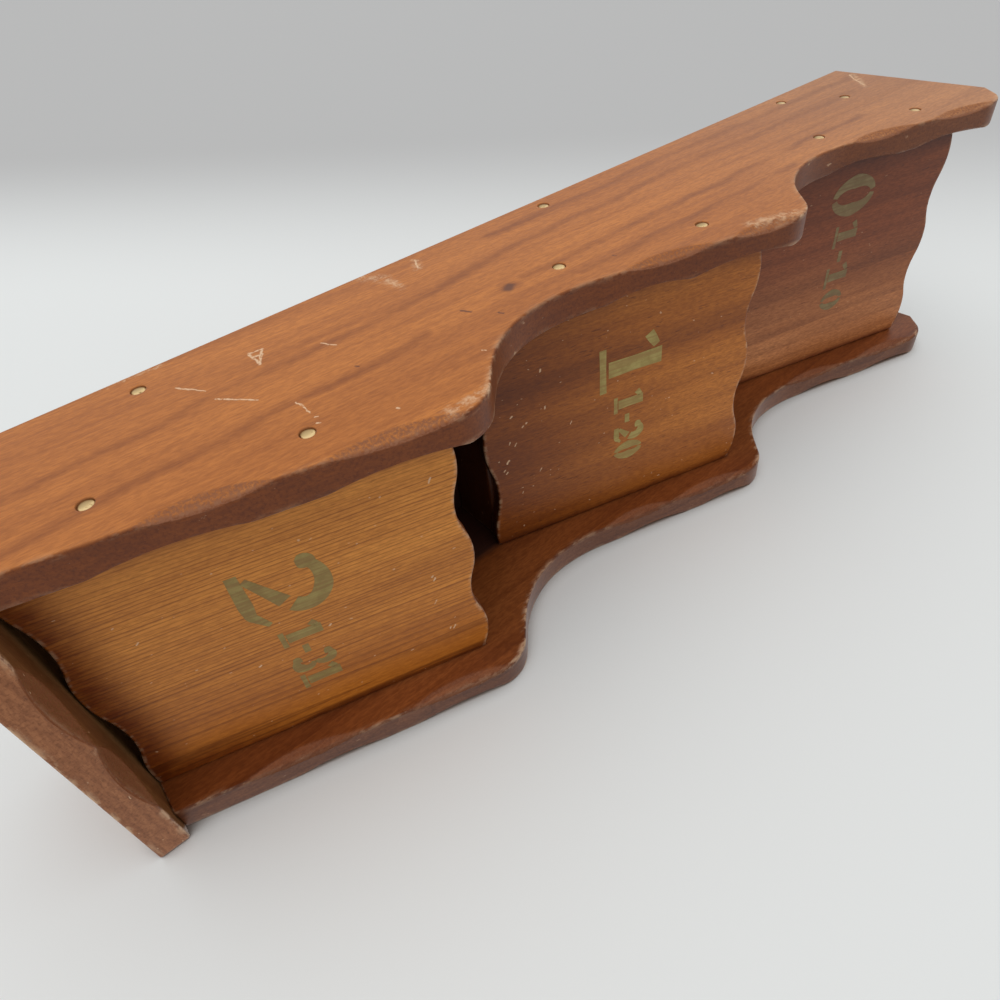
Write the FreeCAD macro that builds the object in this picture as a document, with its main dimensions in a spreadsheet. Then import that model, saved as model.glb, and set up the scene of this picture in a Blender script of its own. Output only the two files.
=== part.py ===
"""Wall-mounted letter rack: three leaning pockets between two fretsawn sides, nailed together with brass pins.

Units are millimetres.  +X is the viewer's right, +Y points into the wall and +Z is up.
The origin is the middle of the two wall screws, inside the back board.
"""
import FreeCAD, Part
import math
import os
import Sketcher

from FreeCAD import Placement, Rotation, Vector

doc = FreeCAD.newDocument("letter_rack")

# Driving dimensions: name, value, meaning
DIMENSIONS = [
    ("outer_width", 130.0, "over the outer faces of the two sides"),
    ("side_thickness", 10.8, "sides and base board, 7/16 inch stock"),
    ("side_length", 447.7, "top end of a side down to the base board"),
    ("base_depth", 65.0, "back edge to front edge of the base board"),
    ("front_lean", 16.3, "degrees that each pocket leans forward from upright"),
    ("steep_angle", 48.0, "degrees from upright of the short run behind a nose"),
    ("nose_radius", 17.0, "convex nose at the top of each tier"),
    ("steep_length", 8.8, "short straight run behind a nose"),
    ("hollow_radius", 48.5, "first concave sweep above a nose"),
    ("throat_radius", 75.0, "second concave sweep, easing into the next tier"),
    ("tier_rise", 153.7, "height from one tier to the next"),
    ("nose_depth", 95.06, "back edge to the tip of the lowest nose"),
    ("nose_drop", 326.25, "top end down to the tip of the lowest nose"),
    ("scoop_back", 4.6, "reach of a carved scoop along a side's face"),
    ("scoop_in", 2.5, "reach of a carved scoop along a side's front edge"),
    ("base_scoop_back", 8.5, "reach of a scoop along the base board's top face"),
    ("base_scoop_down", 3.2, "reach of a scoop along the base board's front edge"),
    ("base_scoop_length", 42.0, "length of a scoop on the base board"),
    ("base_scoop_offset", 20.0, "middle of the base board to the middle of a scoop"),
    ("panel_thickness", 6.4, "front panels and pocket floors, 1/4 inch stock"),
    ("panel_setback", 13.9, "front edge of a side to the panel's face, along Y"),
    ("panel_above", 4.8, "panel's mean top edge above the start of the nose"),
    ("panel_below", 115.7, "panel's mean bottom edge below the start of the nose"),
    ("lowest_panel_below", 119.7, "the same for the lowest panel, which almost touches the base board"),
    ("top_half_wave", 20.15, "half period of the scalloped top edge"),
    ("top_wave_height", 1.8, "mean line to crest of the top edge"),
    ("bottom_half_wave", 24.35, "half period of the scalloped bottom edge"),
    ("bottom_wave_height", 1.7, "mean line to crest of the bottom edge"),
    ("back_thickness", 7.0, "back board"),
    ("back_inset", 5.0, "sides' back edges to the back board"),
    ("screw_drop", 11.0, "top end down to the wall screws"),
    ("screw_spacing", 60.0, "between the two wall screws"),
    ("screw_hole_radius", 2.5, "wall screw holes"),
    ("floor_drop", 109.4, "start of the nose down to the underside of a pocket floor"),
    ("rail_height", 20.0, "top rail, along Z"),
    ("rail_thickness", 7.0, "top rail, along Y"),
    ("rail_depth", 29.3, "back edge to the middle of the top rail"),
    ("rail_drop", 39.9, "top end down to the middle of the top rail"),
    ("nail_length", 25.0, "brass nail under its head"),
    ("nail_radius", 0.9, "brass nail's shank"),
    ("nail_point", 2.0, "length of the nail's point"),
    ("tip_radius", 0.15, "end of the nail's point"),
    ("head_radius", 2.25, "brass nail's head, at its seat"),
    ("crown_radius", 1.5, "brass nail's head, at its top"),
    ("head_height", 0.8, "brass nail's head"),
    ("head_recess", 0.9, "how far a head's seat lies below the wood"),
    ("nail_clearance", 0.05, "room round a nail in its hole"),
]

# Hand-placed work, one row per tier from the bottom up, measured along the lean from the start of the nose
OUTER_SCOOPS = [[(-64.0, 36.0), (-14.0, 44.0)], [(-49.0, 38.0), (-8.0, 32.0)], [(-58.0, 36.0), (-12.0, 40.0)]]
INNER_SCOOPS = [[(-76.0, 44.0), (-15.0, 46.0)], [(-57.0, 36.0), (-17.0, 46.0)], [(-66.0, 40.0), (-16.0, 46.0)]]
# Nails of the panels: place along the lean, distance behind the panel's face
PANEL_NAILS = [[(-31.6, 1.6), (-88.0, 2.5)], [(-21.8, 2.6), (-79.3, 3.4)], [(-22.0, 2.0), (-76.3, 1.6)]]
# Nails of the back board: distance from the back edge, drop from the top end
BACK_NAILS = [(8.5, 61.2), (6.7, 218.7), (10.5, 387.4)]
# Nails of the base board, as distances from the back edge, and of a pocket floor, as a distance from the middle
BASE_NAILS = [15.0, 45.0]
FLOOR_NAIL_X = 30.0
TIERS = ["lower", "middle", "upper"]

sheet = doc.addObject("Spreadsheet::Sheet", "Dimensions")
for row, (alias, value, meaning) in enumerate(DIMENSIONS, start=1):
    sheet.set(f"A{row}", alias)
    sheet.set(f"B{row}", str(value))
    sheet.setAlias(f"B{row}", alias)
    sheet.set(f"C{row}", meaning)
doc.recompute()


def size(alias):
    """A driving dimension, read from the sheet."""
    return float(sheet.get(alias))


# Frame: where the main planes lie
HALF_WIDTH = size("outer_width") / 2
HALF_INSIDE = HALF_WIDTH - size("side_thickness")
BACK_EDGE = size("back_inset") + size("back_thickness") / 2
BOARD_FRONT = -size("back_thickness") / 2
TOP_END = size("screw_drop")
BASE_TOP = TOP_END - size("side_length")
LEAN = math.radians(size("front_lean"))
STEEP = math.radians(size("steep_angle"))
UP_LEAN = Vector(0, -math.sin(LEAN), math.cos(LEAN))
INTO_WOOD = Vector(0, math.cos(LEAN), math.sin(LEAN))
RIGHT = Vector(1, 0, 0)

# One tier of the front edge: what each stretch rises and moves back, and the straight run that is left
nose_rise = size("nose_radius") * (math.sin(STEEP) + math.sin(LEAN))
nose_back = size("nose_radius") * (math.cos(LEAN) - math.cos(STEEP))
sweep_rise = size("hollow_radius") * math.sin(STEEP) + size("throat_radius") * math.sin(LEAN)
hollow_back = size("hollow_radius") * (1 - math.cos(STEEP))
throat_forward = size("throat_radius") * (1 - math.cos(LEAN))
steep_rise = size("steep_length") * math.cos(STEEP)
steep_back = size("steep_length") * math.sin(STEEP)
STRAIGHT = (size("tier_rise") - nose_rise - steep_rise - sweep_rise) / math.cos(LEAN)
TIER_BACK = nose_back + steep_back + hollow_back - throat_forward - STRAIGHT * math.sin(LEAN)


def nose_start(tier):
    """Point of the side's front edge, in the side view, where a tier's straight run turns into its nose."""
    tip_y = BACK_EDGE - size("nose_depth")
    tip_z = TOP_END - size("nose_drop")
    y = tip_y + size("nose_radius") * (1 - math.cos(LEAN)) + tier * TIER_BACK
    z = tip_z - size("nose_radius") * math.sin(LEAN) + tier * size("tier_rise")
    return Vector(0, y, z)


def panel_origin(tier):
    """Point of a panel's face, on the middle line, level with the start of the nose."""
    return nose_start(tier) + Vector(0, size("panel_setback"), 0)


def finished(label, thing):
    """Name a sub-part and keep it for the check and the export."""
    thing.Label = label
    nodes.append(thing)
    return thing


nodes = []


# Sketches and pads
def new_body(name):
    """A body for one board."""
    return doc.addObject("PartDesign::Body", name)


def line_edge(start, end):
    """A straight edge of an outline: its curve, and which of its ends comes first."""
    return Part.LineSegment(start, end), (1, 2), None


def arc_edge(start, middle, end, radius_rule):
    """A round edge of an outline, whose radius follows a rule on the sheet."""
    turn = (middle - start).cross(end - middle).z
    ends = (1, 2) if turn > 0 else (2, 1)
    return Part.ArcOfCircle(start, middle, end), ends, radius_rule


def outline_sketch(body, plane_role, edges):
    """Closed outline on one of the body's own planes, its corners joined and its radii bound to the sheet."""
    sketch = body.newObject("Sketcher::SketchObject", body.Name + "_outline")
    planes = [feature for feature in body.Origin.OriginFeatures if feature.Role == plane_role]
    sketch.AttachmentSupport = [(planes[0], "")]
    sketch.MapMode = "FlatFace"
    sketch.addGeometry([curve for curve, ends, rule in edges], False)
    for index, (curve, ends, rule) in enumerate(edges):
        after = (index + 1) % len(edges)
        sketch.addConstraint(Sketcher.Constraint("Coincident", index, ends[1], after, edges[after][1][0]))
    for index, (curve, ends, rule) in enumerate(edges):
        if rule is not None:
            number = sketch.addConstraint(Sketcher.Constraint("Radius", index, curve.Radius))
            sketch.setExpression(f"Constraints[{number}]", rule)
    return sketch


def pad(body, sketch, length_rule, reverse=False):
    """Thickness of a board, bound to the sheet."""
    feature = body.newObject("PartDesign::Pad", body.Name + "_pad")
    feature.Profile = sketch
    feature.setExpression("Length", length_rule)
    feature.Reversed = reverse
    body.Tip = feature
    doc.recompute()
    return feature


def closed_polygon(points):
    """Straight edges round a list of corners."""
    return [line_edge(start, end) for start, end in zip(points, points[1:] + points[:1])]


def group(label, shapes):
    """Several separate solids as one object."""
    feature = doc.addObject("Part::Feature", label)
    feature.Shape = Part.makeCompound(shapes)
    feature.Placement = Placement()
    return feature


def cut(name, base, tool):
    """A board with its carving or its nail holes taken out."""
    feature = doc.addObject("Part::Cut", name)
    feature.Base = base
    feature.Tool = tool
    return feature


# Brass nails, and the holes that they sit in: small pins with flat-sided heads and shanks
def ring(sides, radius, z):
    """Regular polygon about Z, as a closed wire."""
    angles = [2 * math.pi * number / sides for number in range(sides + 1)]
    return Part.makePolygon([Vector(radius * math.cos(angle), radius * math.sin(angle), z) for angle in angles])


def taper(sides, low_radius, low_z, high_radius, high_z):
    """Straight or tapered solid between two like polygons."""
    return Part.makeLoft([ring(sides, low_radius, low_z), ring(sides, high_radius, high_z)], True, True)


def nail_solid():
    """Nail with its seat at z = 0, its chamfered head above and its pointed shank below."""
    shank = size("nail_radius")
    tip = -size("nail_length")
    shank_end = tip + size("nail_point")
    head = taper(HEAD_SIDES, size("head_radius"), 0, size("crown_radius"), size("head_height"))
    pin = taper(SHANK_SIDES, shank, shank_end, shank, 0)
    point = taper(SHANK_SIDES, size("tip_radius"), tip, shank, shank_end)
    return head.fuse([pin, point]).removeSplitter()


def nail_hole():
    """Room for one nail: a recess for its head and a hole for its shank."""
    gap = size("nail_clearance")
    recess = size("head_radius") + 2 * gap
    hole = size("nail_radius") + gap
    room = taper(HEAD_SIDES, recess, 0, recess, 2 * size("head_recess"))
    bore = taper(SHANK_SIDES, hole, -size("nail_length") - gap, hole, 0)
    return room.fuse(bore)


HEAD_SIDES = 12
SHANK_SIDES = 8


def driven(solid, face_point, outward):
    """A nail, or its hole, driven square into a face."""
    copy = solid.copy()
    seat = face_point - outward * size("head_recess")
    copy.Placement = Placement(seat, Rotation(Vector(0, 0, 1), outward))
    return copy


def nail_group(label, places):
    """One node of like nails, and the group of their holes."""
    finished(label, group(label, [driven(nail_solid(), point, outward) for point, outward in places]))
    return group(label + "_holes", [driven(nail_hole(), point, outward) for point, outward in places])


def through_both_sides(points):
    """Places for nails driven through the two sides, from points of the side view."""
    places = []
    for point in points:
        places.append((Vector(-HALF_WIDTH, point.y, point.z), Vector(-1, 0, 0)))
        places.append((Vector(HALF_WIDTH, point.y, point.z), Vector(1, 0, 0)))
    return places


def floor_middle(tier):
    """Height of the middle of a pocket floor."""
    return nose_start(tier).z - size("floor_drop") + size("panel_thickness") / 2


panel_holes = []
for tier, name in enumerate(TIERS):
    nail_points = []
    for along, inset in PANEL_NAILS[tier]:
        nail_points.append(panel_origin(tier) + UP_LEAN * along + INTO_WOOD * inset)
    panel_holes.append(nail_group(f"nails_{name}_panel", through_both_sides(nail_points)))

back_points = [Vector(0, BACK_EDGE - depth, TOP_END - drop) for depth, drop in BACK_NAILS]
back_holes = nail_group("nails_back_board", through_both_sides(back_points))

rail_point = Vector(0, BACK_EDGE - size("rail_depth"), TOP_END - size("rail_drop"))
rail_holes = nail_group("nails_top_rail", through_both_sides([rail_point]))

BASE_BOTTOM = BASE_TOP - size("side_thickness")
SIDE_MIDDLE = HALF_WIDTH - size("side_thickness") / 2
base_places = []
for depth in BASE_NAILS:
    for x in (-SIDE_MIDDLE, SIDE_MIDDLE):
        base_places.append((Vector(x, BACK_EDGE - depth, BASE_BOTTOM), Vector(0, 0, -1)))
base_holes = nail_group("nails_base_board", base_places)

floor_holes = {}
for tier in (1, 2):
    places = []
    for x in (-FLOOR_NAIL_X, FLOOR_NAIL_X):
        places.append((Vector(x, -BOARD_FRONT, floor_middle(tier)), Vector(0, 1, 0)))
    floor_holes[tier] = nail_group(f"nails_{TIERS[tier]}_floor", places)


# Carved scoops: each is a shallow round segment swept across a corner
def scoop(corner, along, face_way, face_reach, edge_way, edge_reach, length):
    """Cutter that hollows a corner, from face_reach along one face to edge_reach along the other."""
    across = edge_way * edge_reach - face_way * face_reach
    depth = face_reach * edge_reach / across.Length
    radius = length ** 2 / (8 * depth) + depth / 2
    outward = (face_way * edge_reach + edge_way * face_reach) * (-1 / across.Length)
    half = math.sqrt(radius ** 2 - (radius - depth - SCOOP_CLEAR) ** 2)
    start = corner - along * half + outward * SCOOP_CLEAR
    end = corner + along * half + outward * SCOOP_CLEAR
    hollow = Part.Arc(start, corner - outward * depth, end).toShape()
    lid = Part.LineSegment(end, start).toShape()
    segment = Part.Face(Part.Wire([hollow, lid]))
    sweep = across * SCOOP_SWEEP
    segment.translate(sweep * -0.5)
    return segment.extrude(sweep)


# Room outside the wood, and the sweep as a multiple of the scoop's own width
SCOOP_CLEAR = 1.0
SCOOP_SWEEP = 2.0


def side_scoops():
    """All scoops of the left side's front edge, on its outer and its inner corner."""
    cutters = []
    for tier in range(len(TIERS)):
        for x, way, scoops in ((-HALF_WIDTH, RIGHT, OUTER_SCOOPS), (-HALF_INSIDE, -RIGHT, INNER_SCOOPS)):
            for along, length in scoops[tier]:
                corner = nose_start(tier) + UP_LEAN * along + Vector(x, 0, 0)
                cutters.append(scoop(corner, UP_LEAN, INTO_WOOD, size("scoop_back"),
                                     way, size("scoop_in"), length))
    return cutters


# Sides: the front edge is drawn upwards in the side view, where x is Y and y is Z
def heading(angle):
    """Direction at an angle from upright, positive towards the wall."""
    return Vector(math.sin(angle), math.cos(angle), 0)


def towards_wall(angle):
    """Square to a heading, on the wall's side."""
    return Vector(math.cos(angle), -math.sin(angle), 0)


def sweep_arc(start, radius, first, last, radius_rule):
    """Arc that turns from one heading to another, with its centre on the side that it turns to."""
    side = 1 if last > first else -1
    centre = start + towards_wall(first) * (side * radius)
    middle = centre - towards_wall((first + last) / 2) * (side * radius)
    end = centre - towards_wall(last) * (side * radius)
    return arc_edge(start, middle, end, radius_rule), end


def side_outline():
    """Closed outline of a side: leaning runs, noses and hollows up the front, then straight round the back."""
    lowest = nose_start(0)
    toe = Vector(lowest.y + (lowest.z - BASE_TOP) * math.tan(LEAN), BASE_TOP, 0)
    edges = []
    point = toe
    for tier in range(len(TIERS)):
        turn = Vector(nose_start(tier).y, nose_start(tier).z, 0)
        edges.append(line_edge(point, turn))
        edge, point = sweep_arc(turn, size("nose_radius"), -LEAN, STEEP, "Dimensions.nose_radius")
        edges.append(edge)
        if tier + 1 < len(TIERS):
            hollow_start = point + heading(STEEP) * size("steep_length")
            edges.append(line_edge(point, hollow_start))
            edge, point = sweep_arc(hollow_start, size("hollow_radius"), STEEP, 0, "Dimensions.hollow_radius")
            edges.append(edge)
            edge, point = sweep_arc(point, size("throat_radius"), 0, -LEAN, "Dimensions.throat_radius")
            edges.append(edge)
    shoulder = point + heading(STEEP) * ((TOP_END - point.y) / math.cos(STEEP))
    corners = [point, shoulder, Vector(BACK_EDGE, TOP_END, 0), Vector(BACK_EDGE, BASE_TOP, 0), toe]
    return edges + [line_edge(first, last) for first, last in zip(corners, corners[1:])]


side_board = new_body("side_board")
pad(side_board, outline_sketch(side_board, "YZ_Plane", side_outline()), "Dimensions.side_thickness")
side_board.Placement = Placement(Vector(-HALF_WIDTH, 0, 0), Rotation())
side_carved = cut("side_carved", side_board, group("side_scoops", side_scoops()))
side_holes = doc.addObject("Part::Compound", "side_holes")
side_holes.Links = panel_holes + [back_holes, rail_holes, base_holes]
side_left = finished("side_left", cut("side_left", side_carved, side_holes))
side_right = finished("side_right", doc.addObject("Part::Mirroring", "side_right"))
side_right.Source = side_left
side_right.Base = Vector(0, 0, 0)
side_right.Normal = RIGHT

# Base board: the sides stand on it
base_front = BACK_EDGE - size("base_depth")
base_blank = new_body("base_blank")
base_corners = [(BACK_EDGE, BASE_BOTTOM), (BACK_EDGE, BASE_TOP),
                (base_front, BASE_TOP), (base_front, BASE_BOTTOM)]
base_outline = closed_polygon([Vector(y, z, 0) for y, z in base_corners])
pad(base_blank, outline_sketch(base_blank, "YZ_Plane", base_outline), "Dimensions.outer_width")
base_blank.Placement = Placement(Vector(-HALF_WIDTH, 0, 0), Rotation())
base_cutters = []
for side in (-1, 1):
    corner = Vector(side * size("base_scoop_offset"), base_front, BASE_TOP)
    base_cutters.append(scoop(corner, RIGHT, Vector(0, 1, 0), size("base_scoop_back"),
                              Vector(0, 0, -1), size("base_scoop_down"), size("base_scoop_length")))
base_carved = cut("base_carved", base_blank, group("base_scoops", base_cutters))
finished("base_board", cut("base_board", base_carved, base_holes))

# Back board: stands on the base board between the sides, with the two wall screw holes
back_blank = new_body("back_blank")
back_corners = [(-HALF_INSIDE, BASE_TOP), (HALF_INSIDE, BASE_TOP),
                (HALF_INSIDE, TOP_END), (-HALF_INSIDE, TOP_END)]
back_outline = closed_polygon([Vector(x, z, 0) for x, z in back_corners])
pad(back_blank, outline_sketch(back_blank, "XZ_Plane", back_outline), "Dimensions.back_thickness")
back_blank.Placement = Placement(Vector(0, -BOARD_FRONT, 0), Rotation())
screw_holes = []
for side in (-1, 1):
    screw_hole = doc.addObject("Part::Cylinder", "screw_hole")
    screw_hole.setExpression("Radius", "Dimensions.screw_hole_radius")
    screw_hole.setExpression("Height", "3 * Dimensions.back_thickness")
    start = Vector(side * size("screw_spacing") / 2, 3 * BOARD_FRONT, 0)
    screw_hole.Placement = Placement(start, Rotation(Vector(0, 0, 1), Vector(0, 1, 0)))
    screw_holes.append(screw_hole)
back_cutters = doc.addObject("Part::Compound", "back_cutters")
back_cutters.Links = screw_holes + [back_holes] + list(floor_holes.values())
finished("back_board", cut("back_board", back_blank, back_cutters))


# Front panels: boards with scalloped top and bottom edges, leaning with the sides
def wave_edges(half_wave, height, level, crest, radius_rule):
    """Scalloped edge from left to right: equal arcs that meet on the mean line, the middle one a crest."""
    radius = half_wave ** 2 / (8 * height) + height / 2
    edges = []
    count = math.ceil((HALF_INSIDE / half_wave - 0.5)) * 2 + 1
    for number in range(count):
        way = crest if (number - count // 2) % 2 == 0 else -crest
        middle_x = (number - count // 2) * half_wave
        first = max(middle_x - half_wave / 2, -HALF_INSIDE)
        last = min(middle_x + half_wave / 2, HALF_INSIDE)
        points = []
        for x in (first, (first + last) / 2, last):
            bulge = height - radius + math.sqrt(radius ** 2 - (x - middle_x) ** 2)
            points.append(Vector(x, level + way * bulge, 0))
        edges.append(arc_edge(*points, radius_rule))
    return edges


def edge_ends(edges):
    """First and last point of a row of arcs drawn from left to right."""
    def by_x(curve):
        return sorted((curve.StartPoint, curve.EndPoint), key=lambda point: point.x)
    return by_x(edges[0][0])[0], by_x(edges[-1][0])[1]


def backwards(edges):
    """The same edges, walked the other way."""
    return [(curve, ends[::-1], rule) for curve, ends, rule in reversed(edges)]


def wave_rule(half_wave, height):
    """Radius of an arc with the given chord and rise, as a rule on the sheet."""
    return f"Dimensions.{half_wave}^2 / (8 * Dimensions.{height}) + Dimensions.{height} / 2"


def panel_outline(below):
    """Closed outline of a panel's face, level 0 at the start of the nose, down to a mean bottom edge."""
    top = wave_edges(size("top_half_wave"), size("top_wave_height"), size("panel_above"), 1,
                     wave_rule("top_half_wave", "top_wave_height"))
    bottom = wave_edges(size("bottom_half_wave"), size("bottom_wave_height"), -below, -1,
                        wave_rule("bottom_half_wave", "bottom_wave_height"))
    top_left, top_right = edge_ends(top)
    bottom_left, bottom_right = edge_ends(bottom)
    return bottom + [line_edge(bottom_right, top_right)] + backwards(top) + [line_edge(top_left, bottom_left)]


for tier, name in enumerate(TIERS):
    panel = new_body(f"panel_{name}_board")
    outline = panel_outline(size("lowest_panel_below" if tier == 0 else "panel_below"))
    pad(panel, outline_sketch(panel, "XZ_Plane", outline), "Dimensions.panel_thickness", reverse=True)
    panel.Placement = Placement(panel_origin(tier), Rotation(RIGHT, size("front_lean")))
    finished(f"front_panel_{name}", cut(f"front_panel_{name}", panel, panel_holes[tier]))


# Pocket floors: between a panel's leaning back and the back board
def panel_back(tier, z):
    """Y of a panel's back face at a height."""
    origin = panel_origin(tier)
    return origin.y - (z - origin.z) * math.tan(LEAN) + size("panel_thickness") / math.cos(LEAN)


for tier in (1, 2):
    name = TIERS[tier]
    low = floor_middle(tier) - size("panel_thickness") / 2
    high = floor_middle(tier) + size("panel_thickness") / 2
    corners = [(BOARD_FRONT, low), (BOARD_FRONT, high),
               (panel_back(tier, high), high), (panel_back(tier, low), low)]
    floor = new_body(f"floor_{name}_board")
    floor_sketch = outline_sketch(floor, "YZ_Plane", closed_polygon([Vector(y, z, 0) for y, z in corners]))
    pad(floor, floor_sketch, "Dimensions.outer_width - 2 * Dimensions.side_thickness")
    floor.Placement = Placement(Vector(-HALF_INSIDE, 0, 0), Rotation())
    finished(f"pocket_floor_{name}", cut(f"pocket_floor_{name}", floor, floor_holes[tier]))

# Top rail: a batten across the uppermost pocket
rail = doc.addObject("Part::Box", "rail_blank")
rail.setExpression("Length", "Dimensions.outer_width - 2 * Dimensions.side_thickness")
rail.setExpression("Width", "Dimensions.rail_thickness")
rail.setExpression("Height", "Dimensions.rail_height")
rail_corner = rail_point - Vector(HALF_INSIDE, size("rail_thickness") / 2, size("rail_height") / 2)
rail.Placement = Placement(rail_corner, Rotation())
finished("top_rail", cut("top_rail", rail, rail_holes))

# Check every object, then write each sub-part
doc.recompute()
failed = [thing.Name for thing in doc.Objects if "Invalid" in thing.State or "Error" in thing.State]
if failed:
    raise SystemExit(f"failed objects: {failed}")
for node in nodes:
    if node.Shape.isNull() or not node.Shape.isValid():
        raise SystemExit(f"bad shape: {node.Label}")
os.makedirs("parts", exist_ok=True)
for node in nodes:
    node.Shape.exportStep(f"parts/{node.Label}.step")
    box = node.Shape.optimalBoundingBox(False)
    print(f"{node.Label}: {len(node.Shape.Solids)} solids, {node.Shape.Volume:.0f} mm3, "
          f"x {box.XMin:.2f} {box.XMax:.2f}, y {box.YMin:.2f} {box.YMax:.2f}, z {box.ZMin:.2f} {box.ZMax:.2f}")
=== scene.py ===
# %% [markdown]
# # A wall-mounted letter rack
#
# The real rack is a small piece of nailed joinery: two fretsawn sides, three leaning front panels with
# scalloped edges, a back board, two pocket floors, a rail near the top and a base board.  All of it is
# varnished softwood except the little brass nails and the painted numbers.
#
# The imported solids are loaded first.  They fix each size and place.  Every piece made below is a finer skin
# over one of them, with the softened edges, the gouge work and the wear that a solid model leaves out.

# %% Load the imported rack
import math

import bmesh
import bpy
import numpy as np
from mathutils import Matrix, Vector
from mathutils.geometry import delaunay_2d_cdt


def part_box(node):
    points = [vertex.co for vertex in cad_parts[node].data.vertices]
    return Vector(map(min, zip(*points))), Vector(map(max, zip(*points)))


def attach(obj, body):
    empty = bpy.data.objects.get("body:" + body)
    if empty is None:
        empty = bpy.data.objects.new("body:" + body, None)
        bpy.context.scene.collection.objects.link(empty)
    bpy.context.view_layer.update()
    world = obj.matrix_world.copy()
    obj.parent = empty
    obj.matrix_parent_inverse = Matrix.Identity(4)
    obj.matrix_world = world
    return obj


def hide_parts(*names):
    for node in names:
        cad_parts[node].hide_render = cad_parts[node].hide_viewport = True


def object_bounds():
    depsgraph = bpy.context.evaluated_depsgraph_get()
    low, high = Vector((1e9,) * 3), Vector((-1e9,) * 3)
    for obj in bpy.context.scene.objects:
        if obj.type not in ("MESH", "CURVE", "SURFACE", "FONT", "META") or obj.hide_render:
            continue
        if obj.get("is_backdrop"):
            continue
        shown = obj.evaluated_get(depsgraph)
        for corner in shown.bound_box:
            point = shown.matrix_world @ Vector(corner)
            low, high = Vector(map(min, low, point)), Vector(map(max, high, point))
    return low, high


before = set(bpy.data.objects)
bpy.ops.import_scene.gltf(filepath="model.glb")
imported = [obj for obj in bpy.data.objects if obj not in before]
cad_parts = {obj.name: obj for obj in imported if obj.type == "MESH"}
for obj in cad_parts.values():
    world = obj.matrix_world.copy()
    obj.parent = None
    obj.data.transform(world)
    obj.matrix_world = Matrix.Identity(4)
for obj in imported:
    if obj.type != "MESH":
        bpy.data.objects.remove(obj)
cad_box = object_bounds()
scene = bpy.context.scene
MM = 0.001
sides = cad_box[1] - cad_box[0]
print("solids:", len(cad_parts), "size in mm:", [round(side / MM, 1) for side in sides])

# %% [markdown]
# ## Camera
#
# The photograph was taken from close by with a phone's wide lens, while the rack lay on its right-hand side.
# A camera could be placed by its rotation angles, but three things a person can point at are easier to
# follow: where the eye is, the spot on the table that it looks at, and which way is up in the picture.

# %% Camera
EYE = Vector((-0.17204, -0.21392, -0.39463))
SPOT_ON_TABLE = Vector((0.06500, -0.00352, -0.25312))
PICTURE_UP = Vector((-0.72264, 0.47895, 0.49840))
LENS_MM = 24.96
SENSOR_MM = 36.0

lens = bpy.data.cameras.new("camera")
lens.lens = LENS_MM
lens.sensor_width = SENSOR_MM
lens.clip_start = 0.01
camera = bpy.data.objects.new("camera", lens)
back_axis = (EYE - SPOT_ON_TABLE).normalized()
right_axis = PICTURE_UP.cross(back_axis).normalized()
up_axis = back_axis.cross(right_axis)
camera.matrix_world = Matrix.Translation(EYE) @ Matrix((right_axis, up_axis, back_axis)).transposed().to_4x4()
scene.collection.objects.link(camera)
scene.camera = camera
print("camera is", round((EYE - SPOT_ON_TABLE).length, 3), "m from the table")

# %% [markdown]
# ## Shader arithmetic
#
# A finish is mostly sums and products of noise.  Wiring each Math node by hand hides the formula, so one
# small class stands for a node's output: Python's own operators on it add the Math nodes, and its `node`
# method adds any other kind of node, settings first and sockets second.  A colour is written as its red,
# green and blue alone.

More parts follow.
